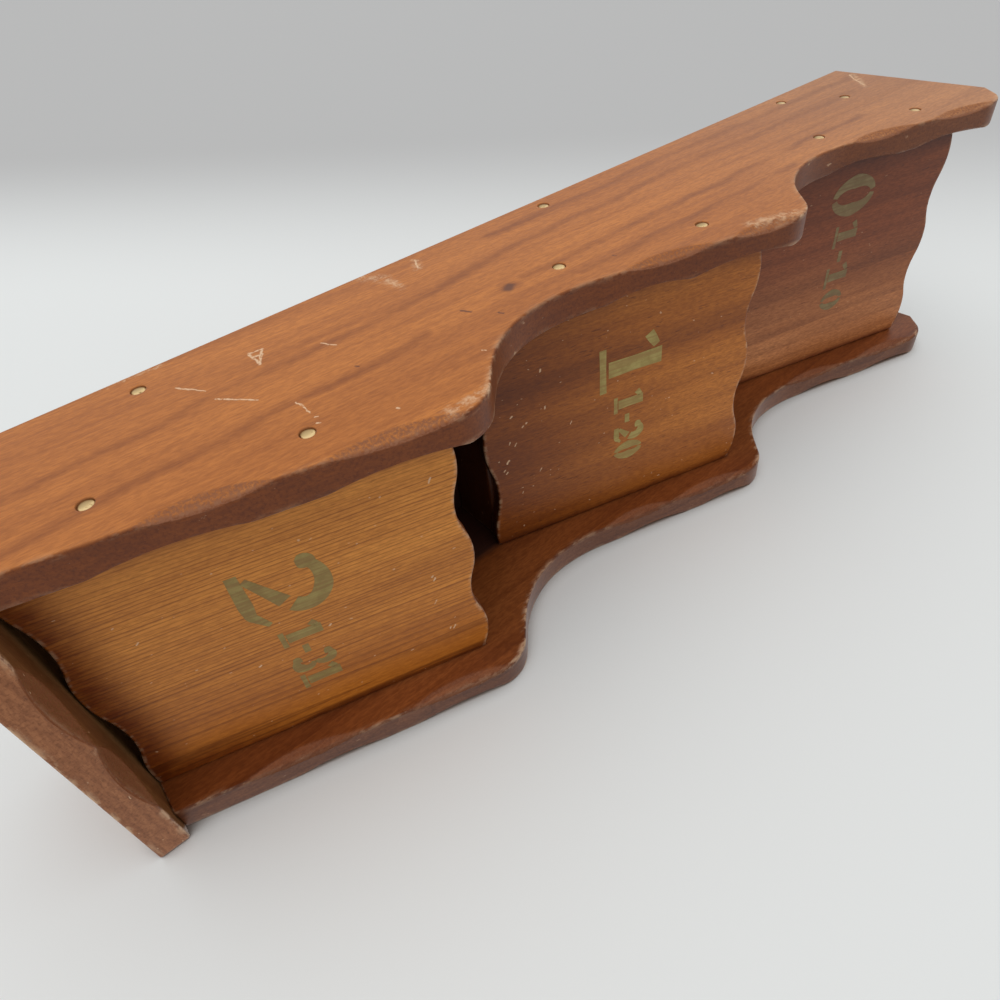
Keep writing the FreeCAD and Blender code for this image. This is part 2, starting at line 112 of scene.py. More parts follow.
# %% Shader arithmetic
class Wire:
    """One output of a shader node.  + - * / and ** on it add Math nodes to the same tree."""

    def __init__(self, tree, socket=None):
        self.tree = tree
        self.socket = socket

    def node(self, kind, settings=None, sockets=None, output=0):
        """Add a node: its settings first, then a value or a Wire for each socket.  Gives one output."""
        made = self.tree.nodes.new(kind)
        for name, value in (settings or {}).items():
            setattr(made, name, value)
        for name, value in (sockets or {}).items():
            socket = made.inputs[name]
            if isinstance(value, Wire):
                self.tree.links.new(value.socket, socket)
            else:
                socket.default_value = (*value, 1.0) if socket.type == "RGBA" else value
        return Wire(self.tree, made.outputs[output] if made.outputs else None)

    def out(self, name):
        """Another output of the same node."""
        return Wire(self.tree, self.socket.node.outputs[name])

    def math(self, operation, *values):
        """A Math node on some values."""
        return self.node("ShaderNodeMath", {"operation": operation}, dict(enumerate(values)))

    def vector(self, operation, *values, output=0):
        """A Vector Math node on some vectors."""
        return self.node("ShaderNodeVectorMath", {"operation": operation}, dict(enumerate(values)), output)

    def __add__(self, other):
        return self.math("ADD", self, other)

    def __sub__(self, other):
        return self.math("SUBTRACT", self, other)

    def __rsub__(self, other):
        return self.math("SUBTRACT", other, self)

    def __mul__(self, other):
        return self.math("MULTIPLY", self, other)

    def __truediv__(self, other):
        return self.math("DIVIDE", self, other)

    def __pow__(self, other):
        return self.math("POWER", self, other)

    __radd__ = __add__
    __rmul__ = __mul__

    def most(self, other):
        """The larger of two values."""
        return self.math("MAXIMUM", self, other)

    def between(self, low, high):
        """0 below low, 1 above high (or the other way round), with a smooth step between them."""
        settings = {"interpolation_type": "SMOOTHSTEP"}
        return self.node("ShaderNodeMapRange", settings, {"Value": self, "From Min": low, "From Max": high})

    def parts(self):
        """The x of a vector.  Its y and z are other outputs of the same node."""
        return self.node("ShaderNodeSeparateXYZ", {}, {0: self})

    def blend(self, first, second, kind="MIX"):
        """Two colours mixed by this value."""
        settings = {"data_type": "RGBA", "blend_type": kind}
        return self.node("ShaderNodeMix", settings, {0: self, 6: first, 7: second}, output=2)

    def cloud(self, size, detail=2.0, rough=0.5, stretch=1.0):
        """Soft noise about 0.5 at this vector.  Its blobs have the given size, and size / stretch along z."""
        place = self.vector("MULTIPLY", self, (1.0, 1.0, stretch))
        sockets = {"Vector": place, "Scale": 1.0 / size, "Detail": detail, "Roughness": rough}
        return self.node("ShaderNodeTexNoise", {}, sockets)


def empty_material(name):
    """A new material with no nodes, and the Wire that its nodes start from."""
    material = bpy.data.materials.new(name)
    material.use_nodes = True
    material.node_tree.nodes.clear()
    return material, Wire(material.node_tree)


def own_place(start):
    """The point's place on the piece, in metres."""
    return start.node("ShaderNodeTexCoord", {}, {}, "Object")


def surface(start, colour, rough, height, strength, depth, others):
    """The Principled surface of a finish, with a bump whose depth is in millimetres."""
    bump = start.node("ShaderNodeBump", {}, {"Strength": strength, "Distance": depth * MM, "Height": height})
    sockets = {"Base Color": colour, "Roughness": rough, "Normal": bump, **others}
    shader = start.node("ShaderNodeBsdfPrincipled", {}, sockets)
    start.node("ShaderNodeOutputMaterial", {}, {"Surface": shader})


print("operators of a Wire: + - * / **")

# %% [markdown]
# ## Table and light
#
# The rack lies on a white table that runs up behind it without a corner.  The table is a plain plane that
# touches the right-hand side.  It is seen only by the camera, so that from other sides the rack is still lit
# all round, and from behind it is clear.  Its colour is painted light: lighter near and darker far off, and
# darker still close to the rack, where a painted contact shadow falls.
#
# The light is a big soft room.  Its strength is a formula of the direction that it comes from: a constant,
# the cube of how far up the direction points, where up is the photograph's, the rack's -X, and a little more
# from the front than from behind.  From below comes the light that a white table throws back.

# %% Table and light
TABLE_HALF = 6.0
TABLE_NEAR_LIT = (0.810, 0.835, 0.838)
TABLE_FAR_SHADED = (0.515, 0.520, 0.525)
AWAY = (0.6, 0.8)
NEAR_TO_FAR = (-0.02, 0.39)
CONTACT_SHADOW_TONE = (0.15, 0.12, 0.10)
CONTACT_SHADOW_REACH = 0.012
CONTACT_SHADOW_FALL = (0.15, 0.75)
ROOM_WHITE = (1.0, 0.995, 0.985)
ROOM_LEVEL = 0.45
ROOM_FROM_ABOVE = 1.25
ROOM_FROM_FRONT = 0.08
HORIZON = (0.05, -0.15)
TABLE_GLOW = 0.48
BACKGROUND = (0.72, 0.725, 0.72)

scene.view_settings.view_transform = "Standard"

room = bpy.data.worlds.new("room")
room.use_nodes = True
room.node_tree.nodes.clear()
start = Wire(room.node_tree)
way = start.node("ShaderNodeTexCoord", {}, {}, "Generated").parts()
up = 0.0 - way
from_room = ROOM_LEVEL + up.most(0.0) ** 3.0 * ROOM_FROM_ABOVE - way.out("Y") * ROOM_FROM_FRONT
below = up.between(*HORIZON)
strength = from_room * (1.0 - below) + below * TABLE_GLOW
soft_light = start.node("ShaderNodeBackground", {}, {"Color": ROOM_WHITE, "Strength": strength})
backdrop = start.node("ShaderNodeBackground", {}, {"Color": BACKGROUND, "Strength": 1.0})
seen = start.node("ShaderNodeLightPath", {}, {}, "Is Camera Ray")
seen = seen + seen.out("Is Glossy Ray") + seen.out("Is Transmission Ray")
mixed = start.node("ShaderNodeMixShader", {}, {0: seen, 1: soft_light, 2: backdrop})
start.node("ShaderNodeOutputWorld", {}, {"Surface": mixed})
scene.world = room

table_x = cad_box[1].x
corners = [(table_x, -TABLE_HALF, -TABLE_HALF), (table_x, -TABLE_HALF, TABLE_HALF),
           (table_x, TABLE_HALF, TABLE_HALF), (table_x, TABLE_HALF, -TABLE_HALF)]
table_mesh = bpy.data.meshes.new("table")
table_mesh.from_pydata(corners, [], [(0, 1, 2, 3)])
table = bpy.data.objects.new("table", table_mesh)
scene.collection.objects.link(table)
table.visible_diffuse = False
table.visible_glossy = False
table.visible_shadow = False
table.visible_transmission = False
table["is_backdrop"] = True

table_paint, start = empty_material("table_paint")
place = own_place(start).parts()
# Painted light: the table's colour is lighter near and darker far off.
away = place.out("Y") * AWAY[0] + place.out("Z") * AWAY[1]
tone = away.between(*NEAR_TO_FAR).blend(TABLE_NEAR_LIT, TABLE_FAR_SHADED)
# Painted contact shadow: the table darkens where the rack closes off its open sky.
open_sky = start.node("ShaderNodeAmbientOcclusion", {"samples": 8}, {"Distance": CONTACT_SHADOW_REACH}, "AO")
tone = open_sky.between(*CONTACT_SHADOW_FALL).blend(CONTACT_SHADOW_TONE, tone)
behind = start.node("ShaderNodeNewGeometry", {}, {}, "Backfacing")
white = start.node("ShaderNodeBsdfDiffuse", {}, {"Color": tone})
clear = start.node("ShaderNodeBsdfTransparent")
start.node("ShaderNodeOutputMaterial", {}, {
    "Surface": start.node("ShaderNodeMixShader", {}, {0: behind, 1: white, 2: clear})})
table_mesh.materials.append(table_paint)
print("table faces", tuple(round(part, 2) for part in table_mesh.polygons[0].normal))

# %% [markdown]
# ## Varnished softwood
#
# Every board is sawn from a tree trunk, so its grain is a cut through the trunk's rings.  The finish works
# that out from the point's own place: the distance from the trunk's heart, with a slow sway, divided by the
# width of a year.  The fraction of a year picks a colour between pale spring wood and dark autumn wood.  A
# picture of wood would be quicker, but it would not run through the edges as real grain does.
#
# Stains then multiply the colour: drifts, fibres, specks and pores drawn out along the grain, and dark
# streaks.  Painted shade and light multiply it too: slow fades, shade in the corners where a panel meets the
# sides, a darker tone on faces inside a pocket and deeper shade behind the panels.  One fade, the middle
# panel's paler left end, is the wood's own tone.  Bare wood and dirt cover it: gouged scoops, worn corners,
# scratches and pits, and dirt with painted shade in the nail dents.
#
# The boards carry vertex attributes made with their meshes: `edge` is 1 on a sawn edge, `rim` is 1 along a
# corner where hands have worn the stain, `carved` is 1 in a gouged scoop, `seat` is 1 in a nail's dent, and
# `inner` is 1 on a face inside a pocket.  `along` and `across` measure the way along and across a sawn edge.

# %% Varnished softwood
MASKS = ("edge", "rim", "carved", "seat", "inner", "along", "across")
# Each noise is its size in millimetres, detail, roughness and stretch
DRIFT_NOISE = (24.0, 4.0, 0.55, 0.15)
FIBRE_NOISE = (2.2, 5.0, 0.7, 0.04)
SPECK_NOISE = (0.8, 3.0, 0.65, 0.25)
PATCH_NOISE = (3.0, 4.0, 0.65, 0.4)
PORE_NOISE = (0.5, 1.0, 0.5, 0.12)
DUST_NOISE = (1.3, 1.0, 0.5, 0.5)
PALE_WEAR = (0.78, 0.52, 0.32)
SCOOP_TONE = (0.26, 0.095, 0.040)
SEAT_GRIME_AND_SHADE = (0.30, 0.12, 0.045)
PIT_TONE = (0.12, 0.036, 0.016)
DRIFT_TONE = (0.72, 0.64, 0.56)
FIBRE_TONE = (0.84, 0.79, 0.74)
SPECK_TONE = (0.74, 0.68, 0.62)
BAND_TONE = (0.62, 0.53, 0.46)
PORE_TONE = (0.50, 0.42, 0.36)
CORNER_SHADE_TONE = (0.30, 0.17, 0.12)
EDGE_TONE = (0.38, 0.28, 0.22)
INNER_SHADE_TONE = (0.52, 0.44, 0.54)
POCKET_SHADE_TONE = (0.18, 0.125, 0.11)
# Where painted shade darkens a panel next to the sides, in metres across
LEFT_CORNER_SHADE = (-0.041, -0.0535)
RIGHT_CORNER_SHADE = (0.049, 0.0540)
LOW_RIGHT_CORNER_SHADE = (0.038, 0.0535)
PANEL_FOOT = (-39.5, -431.1)
PANEL_FORWARD = 36.1
PANEL_SHARE = 0.7525
TIER_STEP = (3.07, 153.7)
SHADE_START = (-1.5, 4.0)
SHADE_ENDS = (("Z", 0.0, -0.03), ("Y", 0.002, -0.002), ("Z", -0.437, -0.430))


def attribute(start, name):
    """A number stored on the piece's own vertices."""
    return start.node("ShaderNodeAttribute", {"attribute_name": name}, {}, "Fac")


def grain_place(start, turn, shift):
    """The point in millimetres, turned so that the grain runs along z."""
    sockets = {"Vector": own_place(start), "Location": shift, "Rotation": turn, "Scale": (1 / MM,) * 3}
    return start.node("ShaderNodeMapping", {"vector_type": "POINT"}, sockets)


def year_rings(grain, heart, year, sway, quirk):
    """Years at a point: the distance from the heart, plus a slow and a quick sway, over a year's width."""
    across = grain.vector("MULTIPLY", grain, (1.0, 1.0, 0.0))
    from_heart = grain.vector("DISTANCE", across, (*heart, 0.0), output="Value")
    slow = grain.cloud(30.0, 1.0, stretch=0.10)
    quick = grain.cloud(3.0 * year, stretch=0.03)
    return (from_heart + (slow - 0.5) * sway) / year + (quick - 0.5) * quirk


def pocket_shade(place):
    """1 behind the line of the front panels in the side view and 0 in front of it, at a point in metres.

    Over each tier the line leans forward along a panel, and in the gap above it stays at the foot of the next
    one.  That is a saw tooth of the height, on top of a slow drift back from tier to tier.  The shade ends near
    the top, at the back board and at the base board.
    """
    climb = (place.out("Z") / MM - PANEL_FOOT[1]) / TIER_STEP[1]
    share = climb.math("FRACT", climb)
    forward = share * share.math("LESS_THAN", share, PANEL_SHARE) * (PANEL_FORWARD / PANEL_SHARE)
    behind = place.out("Y") / MM - PANEL_FOOT[0] - climb * TIER_STEP[0] + forward
    shade = behind.between(*SHADE_START)
    for axis, first, last in SHADE_ENDS:
        shade = shade * place.out(axis).between(first, last)
    return shade


def corner_shade(place, grain, foot):
    """Painted shade: 1 where a panel meets the sides and, if foot is given, above that place along the grain.
    """
    corner = place.between(*LEFT_CORNER_SHADE).most(place.between(*RIGHT_CORNER_SHADE))
    if foot is not None:
        along = grain.parts().out("Z")
        low_right = place.between(*LOW_RIGHT_CORNER_SHADE) * along.between(foot + 70.0, foot + 10.0)
        corner = corner.most(low_right).most(along.between(foot + 20.0, foot + 1.0))
    return corner


def segment_mask(place, first, last, width, core):
    """1 on the straight line between two points, falling to 0 at the given distance from it.

    The nearest point of the line is a share of the way along it: the offset from its first end dotted with the
    whole way, divided by the way's length squared.  The fall starts at core times the width.
    """
    way = last - first
    offset = place.vector("SUBTRACT", place, first)
    dot = place.vector("DOT_PRODUCT", offset, way, output="Value")
    share = place.node("ShaderNodeClamp", {}, {0: dot / way.length_squared})
    nearest = place.node("ShaderNodeVectorMath", {"operation": "SCALE"}, {0: way, "Scale": share})
    gap = place.vector("DISTANCE", offset, nearest, output="Value")
    return gap.between(width, width * core)


def all_segments(place, segments, wobble, core=0.35, size=2.2):
    """The largest mask of several segments, given as (first, last, width) and drawn with a shaky hand."""
    shake = place.vector("SUBTRACT", place.cloud(size).out("Color"), (0.5, 0.5, 0.5))
    place = place.vector("MULTIPLY_ADD", shake, (wobble,) * 3, place)
    largest = segment_mask(place, *segments[0], core)
    for segment in segments[1:]:
        largest = largest.most(segment_mask(place, *segment, core))
    return largest


def softwood(name, light, dark, year, turn, shift, heart, sway=9.0, quirk=3.0, late=0.6, crisp=0.2,
             weather=0.8, drifts=1.0, pores=0.4, specks=1.0, light_and_tone_fades=(), corner_shading=0.0, foot=None, dust=0.0,
             gouged=0.9, edge_tone=EDGE_TONE, inner_tone=INNER_SHADE_TONE, bands=(), scratches=(), scuffs=(),
             pits=()):
    """Varnished softwood.

    light and dark are spring and autumn wood, late is how dark the years end, crisp is how late in a year they
    darken and weather is how much the years differ.  Each fade is a tone that grows along an axis from one
    place to another, mostly painted shade and light.  The corner amount is painted shade against the sides
    and above foot, a place along the grain.
    """
    material, start = empty_material(name)
    grain = grain_place(start, turn, shift)
    place = own_place(start).parts()
    rings = year_rings(grain, heart, year, sway, quirk)
    part = rings.math("FRACT", rings)
    number = rings.math("FLOOR", rings)
    chance = start.node("ShaderNodeTexWhiteNoise", {"noise_dimensions": "1D"}, {"W": number})
    autumn = part.between(crisp, 0.90) * part.between(1.0, 0.93) * (1.0 - chance * weather) * late
    drift, fibre, speck, patchy = (
        grain.cloud(*noise) for noise in (DRIFT_NOISE, FIBRE_NOISE, SPECK_NOISE, PATCH_NOISE))
    pore = grain.cloud(*PORE_NOISE).between(0.66, 0.76) * pores
    edge, rim, carved, seat, inner, along, across = (attribute(start, mask) for mask in MASKS)
    chatter = start.node("ShaderNodeCombineXYZ", {}, {0: along / 0.9, 1: across / 1.1})
    ripple = chatter.cloud(1.0, 3.0, 0.65)
    # Painted shade behind the line of the panels inside the pockets, where the wood is rougher too.
    deep = inner * pocket_shade(place)

    stains_and_shade = [(drift.between(0.68, 0.36) * drifts, DRIFT_TONE), (fibre.between(0.66, 0.34), FIBRE_TONE),
              (speck.between(0.64, 0.36) * specks, SPECK_TONE), (pore, PORE_TONE)]
    if bands:
        streak = all_segments(grain, bands, 9.0, 0.0, 30.0) * (0.4 + drift.between(0.30, 0.62) * 0.6)
        stains_and_shade.append((streak * 0.8, BAND_TONE))
    stains_and_shade += [(place.out(axis).between(first, last), tone) for tone, axis, first, last in light_and_tone_fades]
    # Painted shade where a panel meets the sides and above its foot.
    if corner_shading:
        stains_and_shade.append((corner_shade(place, grain, foot) * (0.45 + patchy) * corner_shading, CORNER_SHADE_TONE))
    # Painted shade: a darker tone on every face inside a pocket, and a deeper one behind the line of the
    # panels.
    stains_and_shade += [(edge, edge_tone), (edge * ripple.between(0.52, 0.36), SPECK_TONE), (inner, inner_tone),
               (deep, POCKET_SHADE_TONE)]

    worn = rim * patchy.between(0.44, 0.60) * (1.0 - carved * 0.7)
    bare = grain.cloud(*DUST_NOISE).between(0.76, 0.80) * dust
    if scuffs:
        broken = grain.cloud(2.0, 4.0, 0.7).between(0.38, 0.62)
        bare = bare + all_segments(grain, scuffs, 5.0, 0.0) * broken * 0.7
    if scratches:
        uneven = grain.cloud(0.9, 3.0, 0.6).between(0.30, 0.50)
        bare = bare.most(all_segments(grain, scratches, 1.3) * uneven)
    bare = bare + edge * patchy.between(0.66, 0.74) * 0.5
    # In a nail's dent the seat tone is dirt with painted shade.
    covers = [(carved * (0.25 + ripple.between(0.62, 0.40) * 0.75) * gouged, SCOOP_TONE),
              (worn * 0.9, PALE_WEAR), (seat, SEAT_GRIME_AND_SHADE), (bare * 0.95, PALE_WEAR)]
    if pits:
        covers.append((all_segments(grain, pits, 1.2, 0.25) * 0.85, PIT_TONE))

    colour = autumn.blend(light, dark)
    for amount, tone in stains_and_shade:
        colour = amount.blend(colour, tone, "MULTIPLY")
    for amount, tone in covers:
        colour = amount.blend(colour, tone)
    rough = 0.36 + fibre * 0.12 + carved * 0.20 + worn * 0.15 + bare * 0.2 + deep * 0.35
    height = fibre * 0.35 + autumn * 0.25 - pore * 0.5 + carved * ripple * 5.0 - bare * 1.2
    surface(start, colour, rough, height, 0.5, 0.12, {"IOR": 1.48, "Specular IOR Level": 0.35})
    return material


print("bare wood shows as", PALE_WEAR, "and gouged wood as", SCOOP_TONE)

# %% [markdown]
# Knots, scratches, scuffs and the strongest dark streaks have their own places.  They are lines through a few
# points, given in millimetres on a face and turned like its grain.

# %% Marks on the boards
LEAN = math.radians(16.3)
GRAIN_UP = (0.0, 0.0, 0.0)
GRAIN_TILTED = (math.radians(-3.5), 0.0, 0.0)
GRAIN_LEANING = (-LEAN, 0.0, 0.0)
GRAIN_ACROSS = (0.0, -math.pi / 2, 0.0)
ALONG_LEAN = (0.0, -math.sin(LEAN), math.cos(LEAN))
NO_SHIFT = (0.0, 0.0, 0.0)
MIDDLE_SHIFT = (8.0, 4.0, 90.0)
LEFT_FACE = ((-65.0, 0.0, 0.0), (0.0, 1.0, 0.0), (0.0, 0.0, 1.0), GRAIN_TILTED, NO_SHIFT)
LOWER_FACE = ((0.0, -71.98, -320.02), (1.0, 0.0, 0.0), ALONG_LEAN, GRAIN_LEANING, NO_SHIFT)
MIDDLE_FACE = ((0.0, -68.90, -166.32), (1.0, 0.0, 0.0), ALONG_LEAN, GRAIN_LEANING, MIDDLE_SHIFT)


def marks_on(face, *marks):
    """Segments of a face, in its grain's own frame.

    A mark is a line's width and then the numbers across and along the face of each of its points in turn.
    """
    origin, across, along, turn, shift = (Vector(part) for part in face)
    turned = Matrix.Rotation(turn.x, 3, "X")
    segments = []
    for width, *numbers in marks:
        pairs = zip(numbers[::2], numbers[1::2])
        spots = [turned @ (origin + across * a + along * b) + shift for a, b in pairs]
        segments += [(first, last, width) for first, last in zip(spots, spots[1:])]
    return segments


def flecks(*spots):
    """A short slanting mark at each spot, with its own length, slant and width."""
    chance = np.random.default_rng(11).uniform(0.0, 1.0, (len(spots), 3))
    return [(0.34 + 0.22 * w, a + 0.2 + 0.5 * u, b - 0.1 - 0.5 * v, a - 0.2 - 0.5 * u, b + 0.1 + 0.5 * v)
            for (a, b), (u, v, w) in zip(spots, chance)]


left_scratches = marks_on(
    LEFT_FACE, (0.45, -10.7, -367.6, -19.5, -361.8), (0.45, -26.2, -361.2, -36.6, -352.6),
    (0.4, -46.2, -345.3, -49.6, -344.9, -54.1, -345.1), (0.6, -9.8, -343.4, -10.6, -339.2),
    (0.7, -10.6, -339.2, -18.6, -343.6, -9.8, -343.4), (0.6, -13, -343.4, -13.6, -340.4),
    (0.4, -22.7, -324.3, -27.6, -321.7), (0.6, 2.8, -270.6, -3.7, -273.7), (0.6, -2.6, 6, -8, 0.5, -19, -8),
    *flecks((-57, -344.8), (-60, -345.6), (-71, -327), (-66, -293)))
left_scuffs = marks_on(
    LEFT_FACE, (4.5, 7, -291, -1, -286.5), (3, -1, -286.5, -11, -286), (2.5, 2.8, -270.6, -3.7, -273.7),
    (3, -3, 7, -20, -9), (1.6, 8, -384, 6.5, -366), (3, -83, -318, -82, -300), (4, -74, -176, -80, -160))
left_pits = marks_on(
    LEFT_FACE, (2.7, -42.2, -263.6, -40.9, -261.8), (0.75, -41.6, -282.8, -44.6, -281.2),
    (0.6, -52, -275.6, -53.8, -275.2), (0.6, -43.2, -324, -44.2, -323.4), (0.6, -52.6, -224.4, -53.4, -224))
left_bands = marks_on(
    LEFT_FACE, (3.6, -27, -430, -24, -285, -17.5, -245, -16, -130), (3.4, -16, -130, -21, -20),
    (4.5, -3, -240, -3, -160, -6, 5), (3.6, -40, -255, -41, -50), (3, -53, -240, -53.5, -120),
    (3.6, -47, -430, -45, -300), (5, -40.4, -264, -41.8, -261))
lower_flecks = marks_on(LOWER_FACE, *flecks(
    (15, -72), (8.5, -46.5), (5, -9.5), (6.6, -9), (34.8, -8), (35, -6.4), (-36, -3), (-15, -98), (-45, -42),
    (18, -11)))
middle_flecks = marks_on(MIDDLE_FACE, *flecks(
    (-12, -104.5), (-7, -98.5), (-6, -100), (-11.5, -90), (0, -106.5), (1.5, -104), (9, -108), (13, -110),
    (14.5, -109), (19, -94), (28, -103), (0.5, -79), (-28.5, -91)))
middle_bands = marks_on(
    MIDDLE_FACE, (13, -22, -130, -22, -62), (5, -25, -66, -28, 20), (11, -22, -70, -21, 20))
print("marks on the left side:", len(left_scratches + left_scuffs + left_pits + left_bands))

# %% [markdown]
# Each board then gets its own wood: its two colours, the width of a year, the way of its grain, and where the
# heart of the trunk was.  The left side and the panels fade from one end to the other, mostly as painted shade
# and light laid over the stain.

# %% Wood of each board
SIDE_WOOD = ((0.60, 0.210, 0.040), (0.37, 0.106, 0.016))
# The left side's fade towards its top end is a painted sheen: greyer and bluer there.
wood_left = softwood(
    "side_left_wood", *SIDE_WOOD, 11.0, GRAIN_TILTED, NO_SHIFT, (40.0, 60.0), sway=16.0, quirk=1.5, late=0.32,
    crisp=0.62, drifts=0.6, specks=0.75, light_and_tone_fades=[((0.93, 1.14, 2.15), "Z", -0.20, 0.03)], bands=left_bands,
    scratches=left_scratches, scuffs=left_scuffs, pits=left_pits)
wood_right = softwood(
    "side_right_wood", *SIDE_WOOD, 6.0, GRAIN_UP, (0.0, 31.0, 170.0), (-50.0, 20.0), sway=12.0, gouged=0.4,
    edge_tone=(0.36, 0.36, 0.70))
# On the base board's top the inner tone is greyer and darker: dust, with a painted sheen and painted shade.
wood_base = softwood(
    "base_board_wood", *SIDE_WOOD, 5.0, GRAIN_ACROSS, (0.0, 12.0, 60.0), (40.0, 30.0), dust=0.8,
    edge_tone=(0.97, 1.25, 3.0), inner_tone=(0.62, 0.92, 1.9))
# The lower panel's fade is painted shade: darker and more orange towards the right-hand side.
wood_lower = softwood(
    "panel_lower_wood", (0.82, 0.335, 0.058), (0.36, 0.120, 0.018), 1.25, GRAIN_LEANING, NO_SHIFT,
    (46.0, -194.0), sway=5.0, quirk=1.8, late=0.80, crisp=0.52, weather=0.65, drifts=0.6, specks=0.7, corner_shading=1.0,
    foot=-406.6, dust=0.6, light_and_tone_fades=[((0.74, 0.61, 0.42), "X", -0.02, 0.045)], scratches=lower_flecks)
# The middle panel's first fade is painted shade, darker towards its foot; its second, a paler left end, is its
# own tone.
wood_middle = softwood(
    "panel_middle_wood", (0.66, 0.235, 0.036), (0.33, 0.096, 0.013), 14.0, GRAIN_LEANING, MIDDLE_SHIFT,
    (-120.0, 40.0), sway=22.0, quirk=1.5, late=0.35, pores=0.9, corner_shading=0.9, dust=0.7,
    light_and_tone_fades=[((0.50, 0.39, 0.30), "Z", -0.18, -0.28), ((1.22, 1.30, 1.35), "X", -0.024, -0.032)],
    bands=middle_bands, scratches=middle_flecks)
# The upper panel's dark colours, with a fade to a far lighter right end, are painted shade from the left side.
wood_upper = softwood(
    "panel_upper_wood", (0.29, 0.078, 0.024), (0.19, 0.047, 0.014), 8.0, GRAIN_LEANING, (20.0, 9.0, 210.0),
    (-90.0, 30.0), sway=16.0, quirk=2.0, pores=0.8, corner_shading=0.9, dust=0.3,
    light_and_tone_fades=[((2.6, 4.0, 4.7), "X", -0.015, 0.045)])
wood_back = softwood(
    "back_board_wood", (0.56, 0.23, 0.080), (0.34, 0.12, 0.040), 5.5, GRAIN_UP, (5.0, 40.0, 30.0),
    (10.0, 70.0), sway=14.0)
wood_inner = softwood(
    "inner_wood", (0.30, 0.115, 0.042), (0.18, 0.065, 0.024), 4.0, GRAIN_ACROSS, (3.0, 50.0, 80.0),
    (30.0, 50.0))
print("wood finishes:", [material.name for material in bpy.data.materials if material.name.endswith("_wood")])

# %% [markdown]
# ## How a board's skin is made
#
# A board could be a box with a Bevel modifier, but the gouge work and the softened edges need an even mesh to
# work on.  So a board is a set of rings that run round its outline: out over one face, round its corner,
# across the sawn edge, round the other corner and in over the other face.  Inset and height give each ring,
# so the whole skin is one array.  What is left of each face inside the innermost ring is filled with
# triangles, with round holes left for the nails' dents.

# %% Outlines and rings
EDGE_RADIUS = 0.8
RIM_REACH = 0.8
RING_SPACING = 0.55


def unit(vectors):
    """Vectors of length 1 in the same directions."""
    return vectors / np.linalg.norm(vectors, axis=-1, keepdims=True)


def cross(first, second):
    """Area of the parallelogram of two plane vectors, positive where the second is to the left."""
    return first[..., 0] * second[..., 1] - first[..., 1] * second[..., 0]


def quarter_turn(vectors):
    """Plane vectors turned to the left by a right angle: (x, y) becomes (-y, x)."""
    return np.stack([-vectors[..., 1], vectors[..., 0]], axis=-1)


def steps(outline):
    """Distance of each point of a closed outline from the point before it."""
    return np.linalg.norm(outline - np.roll(outline, 1, axis=0), axis=1)


def rounded_outline(corners, radii, step):
    """Closed outline with each corner replaced by an arc that touches both of its runs.

    The arc starts radius * tan(half the turn) before the corner, and its centre is a radius to the side.  Runs
    and arcs get a point about every step.
    """
    corners = np.array(corners, float)
    radii = np.broadcast_to(radii, len(corners))
    way_in = unit(corners - np.roll(corners, 1, axis=0))
    way_out = np.roll(way_in, -1, axis=0)
    turn = np.arctan2(cross(way_in, way_out), (way_in * way_out).sum(axis=1))
    cut = (radii * np.tan(np.abs(turn) / 2))[:, None]
    starts = corners - way_in * cut
    ends = corners + way_out * cut
    centres = starts + quarter_turn(way_in) * (np.sign(turn) * radii)[:, None]
    stretches = []
    for corner in range(len(corners)):
        count = max(5, math.ceil(radii[corner] * abs(turn[corner]) / step))
        swing = np.linspace(0.0, turn[corner], count + 1)[:, None]
        spoke = starts[corner] - centres[corner]
        stretches.append(centres[corner] + np.cos(swing) * spoke + np.sin(swing) * quarter_turn(spoke))
        run = starts[(corner + 1) % len(corners)] - ends[corner]
        share = np.linspace(0.0, 1.0, max(1, round(np.linalg.norm(run) / step)) + 1)[1:-1, None]
        stretches.append(ends[corner] + share * run)
    outline = np.concatenate(stretches)
    return outline[steps(outline) > 1e-6]


def inward(outline):
    """Unit normals into a closed outline: the way from one neighbour to the other, turned by a quarter."""
    following = np.roll(outline, -1, axis=0)
    along = unit(following - np.roll(outline, 1, axis=0))
    return np.sign(cross(outline, following).sum()) * quarter_turn(along)


def edge_rings(low, high, depth):
    """Rings over a board's edge, as rows of inset, height, edge share and rim share.

    On a face the height is constant and the inset falls to the edge radius; round a corner inset and height
    follow a quarter circle; across the wall the inset is 0.
    """
    quarter = np.linspace(0.0, math.pi / 2, 6)

    def worn(distance):
        """Wear at a distance from a corner: a bell curve."""
        return np.exp(-(distance / RIM_REACH) ** 2) * 0.5

    def half(start, way):
        """The rings of one face and its corner."""
        face = np.arange(depth, EDGE_RADIUS * 1.05, -RING_SPACING)
        flat = np.zeros(len(face))
        inset = np.concatenate([face, EDGE_RADIUS * (1 - np.sin(quarter))])
        height = start + way * np.concatenate([flat, EDGE_RADIUS * (1 - np.cos(quarter))])
        stain = np.concatenate([flat, np.sin(quarter)])
        rim = np.concatenate([worn(face - EDGE_RADIUS), 0.5 + 0.5 * np.sin(2 * quarter)])
        rim[0] = 0.0
        return np.stack([inset, height, stain, rim])

    count = max(2, round((high - low - 2 * EDGE_RADIUS) / RING_SPACING)) + 1
    wall = np.linspace(low + EDGE_RADIUS, high - EDGE_RADIUS, count)[1:-1]
    flat = np.zeros(len(wall))
    from_corner = np.minimum(wall - low, high - wall) - EDGE_RADIUS
    middle = np.stack([flat, wall, flat + 1.0, worn(from_corner)])
    return np.concatenate([half(low, 1.0), middle, half(high, -1.0)[:, ::-1]], axis=1)


print("a 10 mm board edge has", edge_rings(0.0, 10.0, 6.0).shape[1], "rings, softened by", EDGE_RADIUS, "mm")

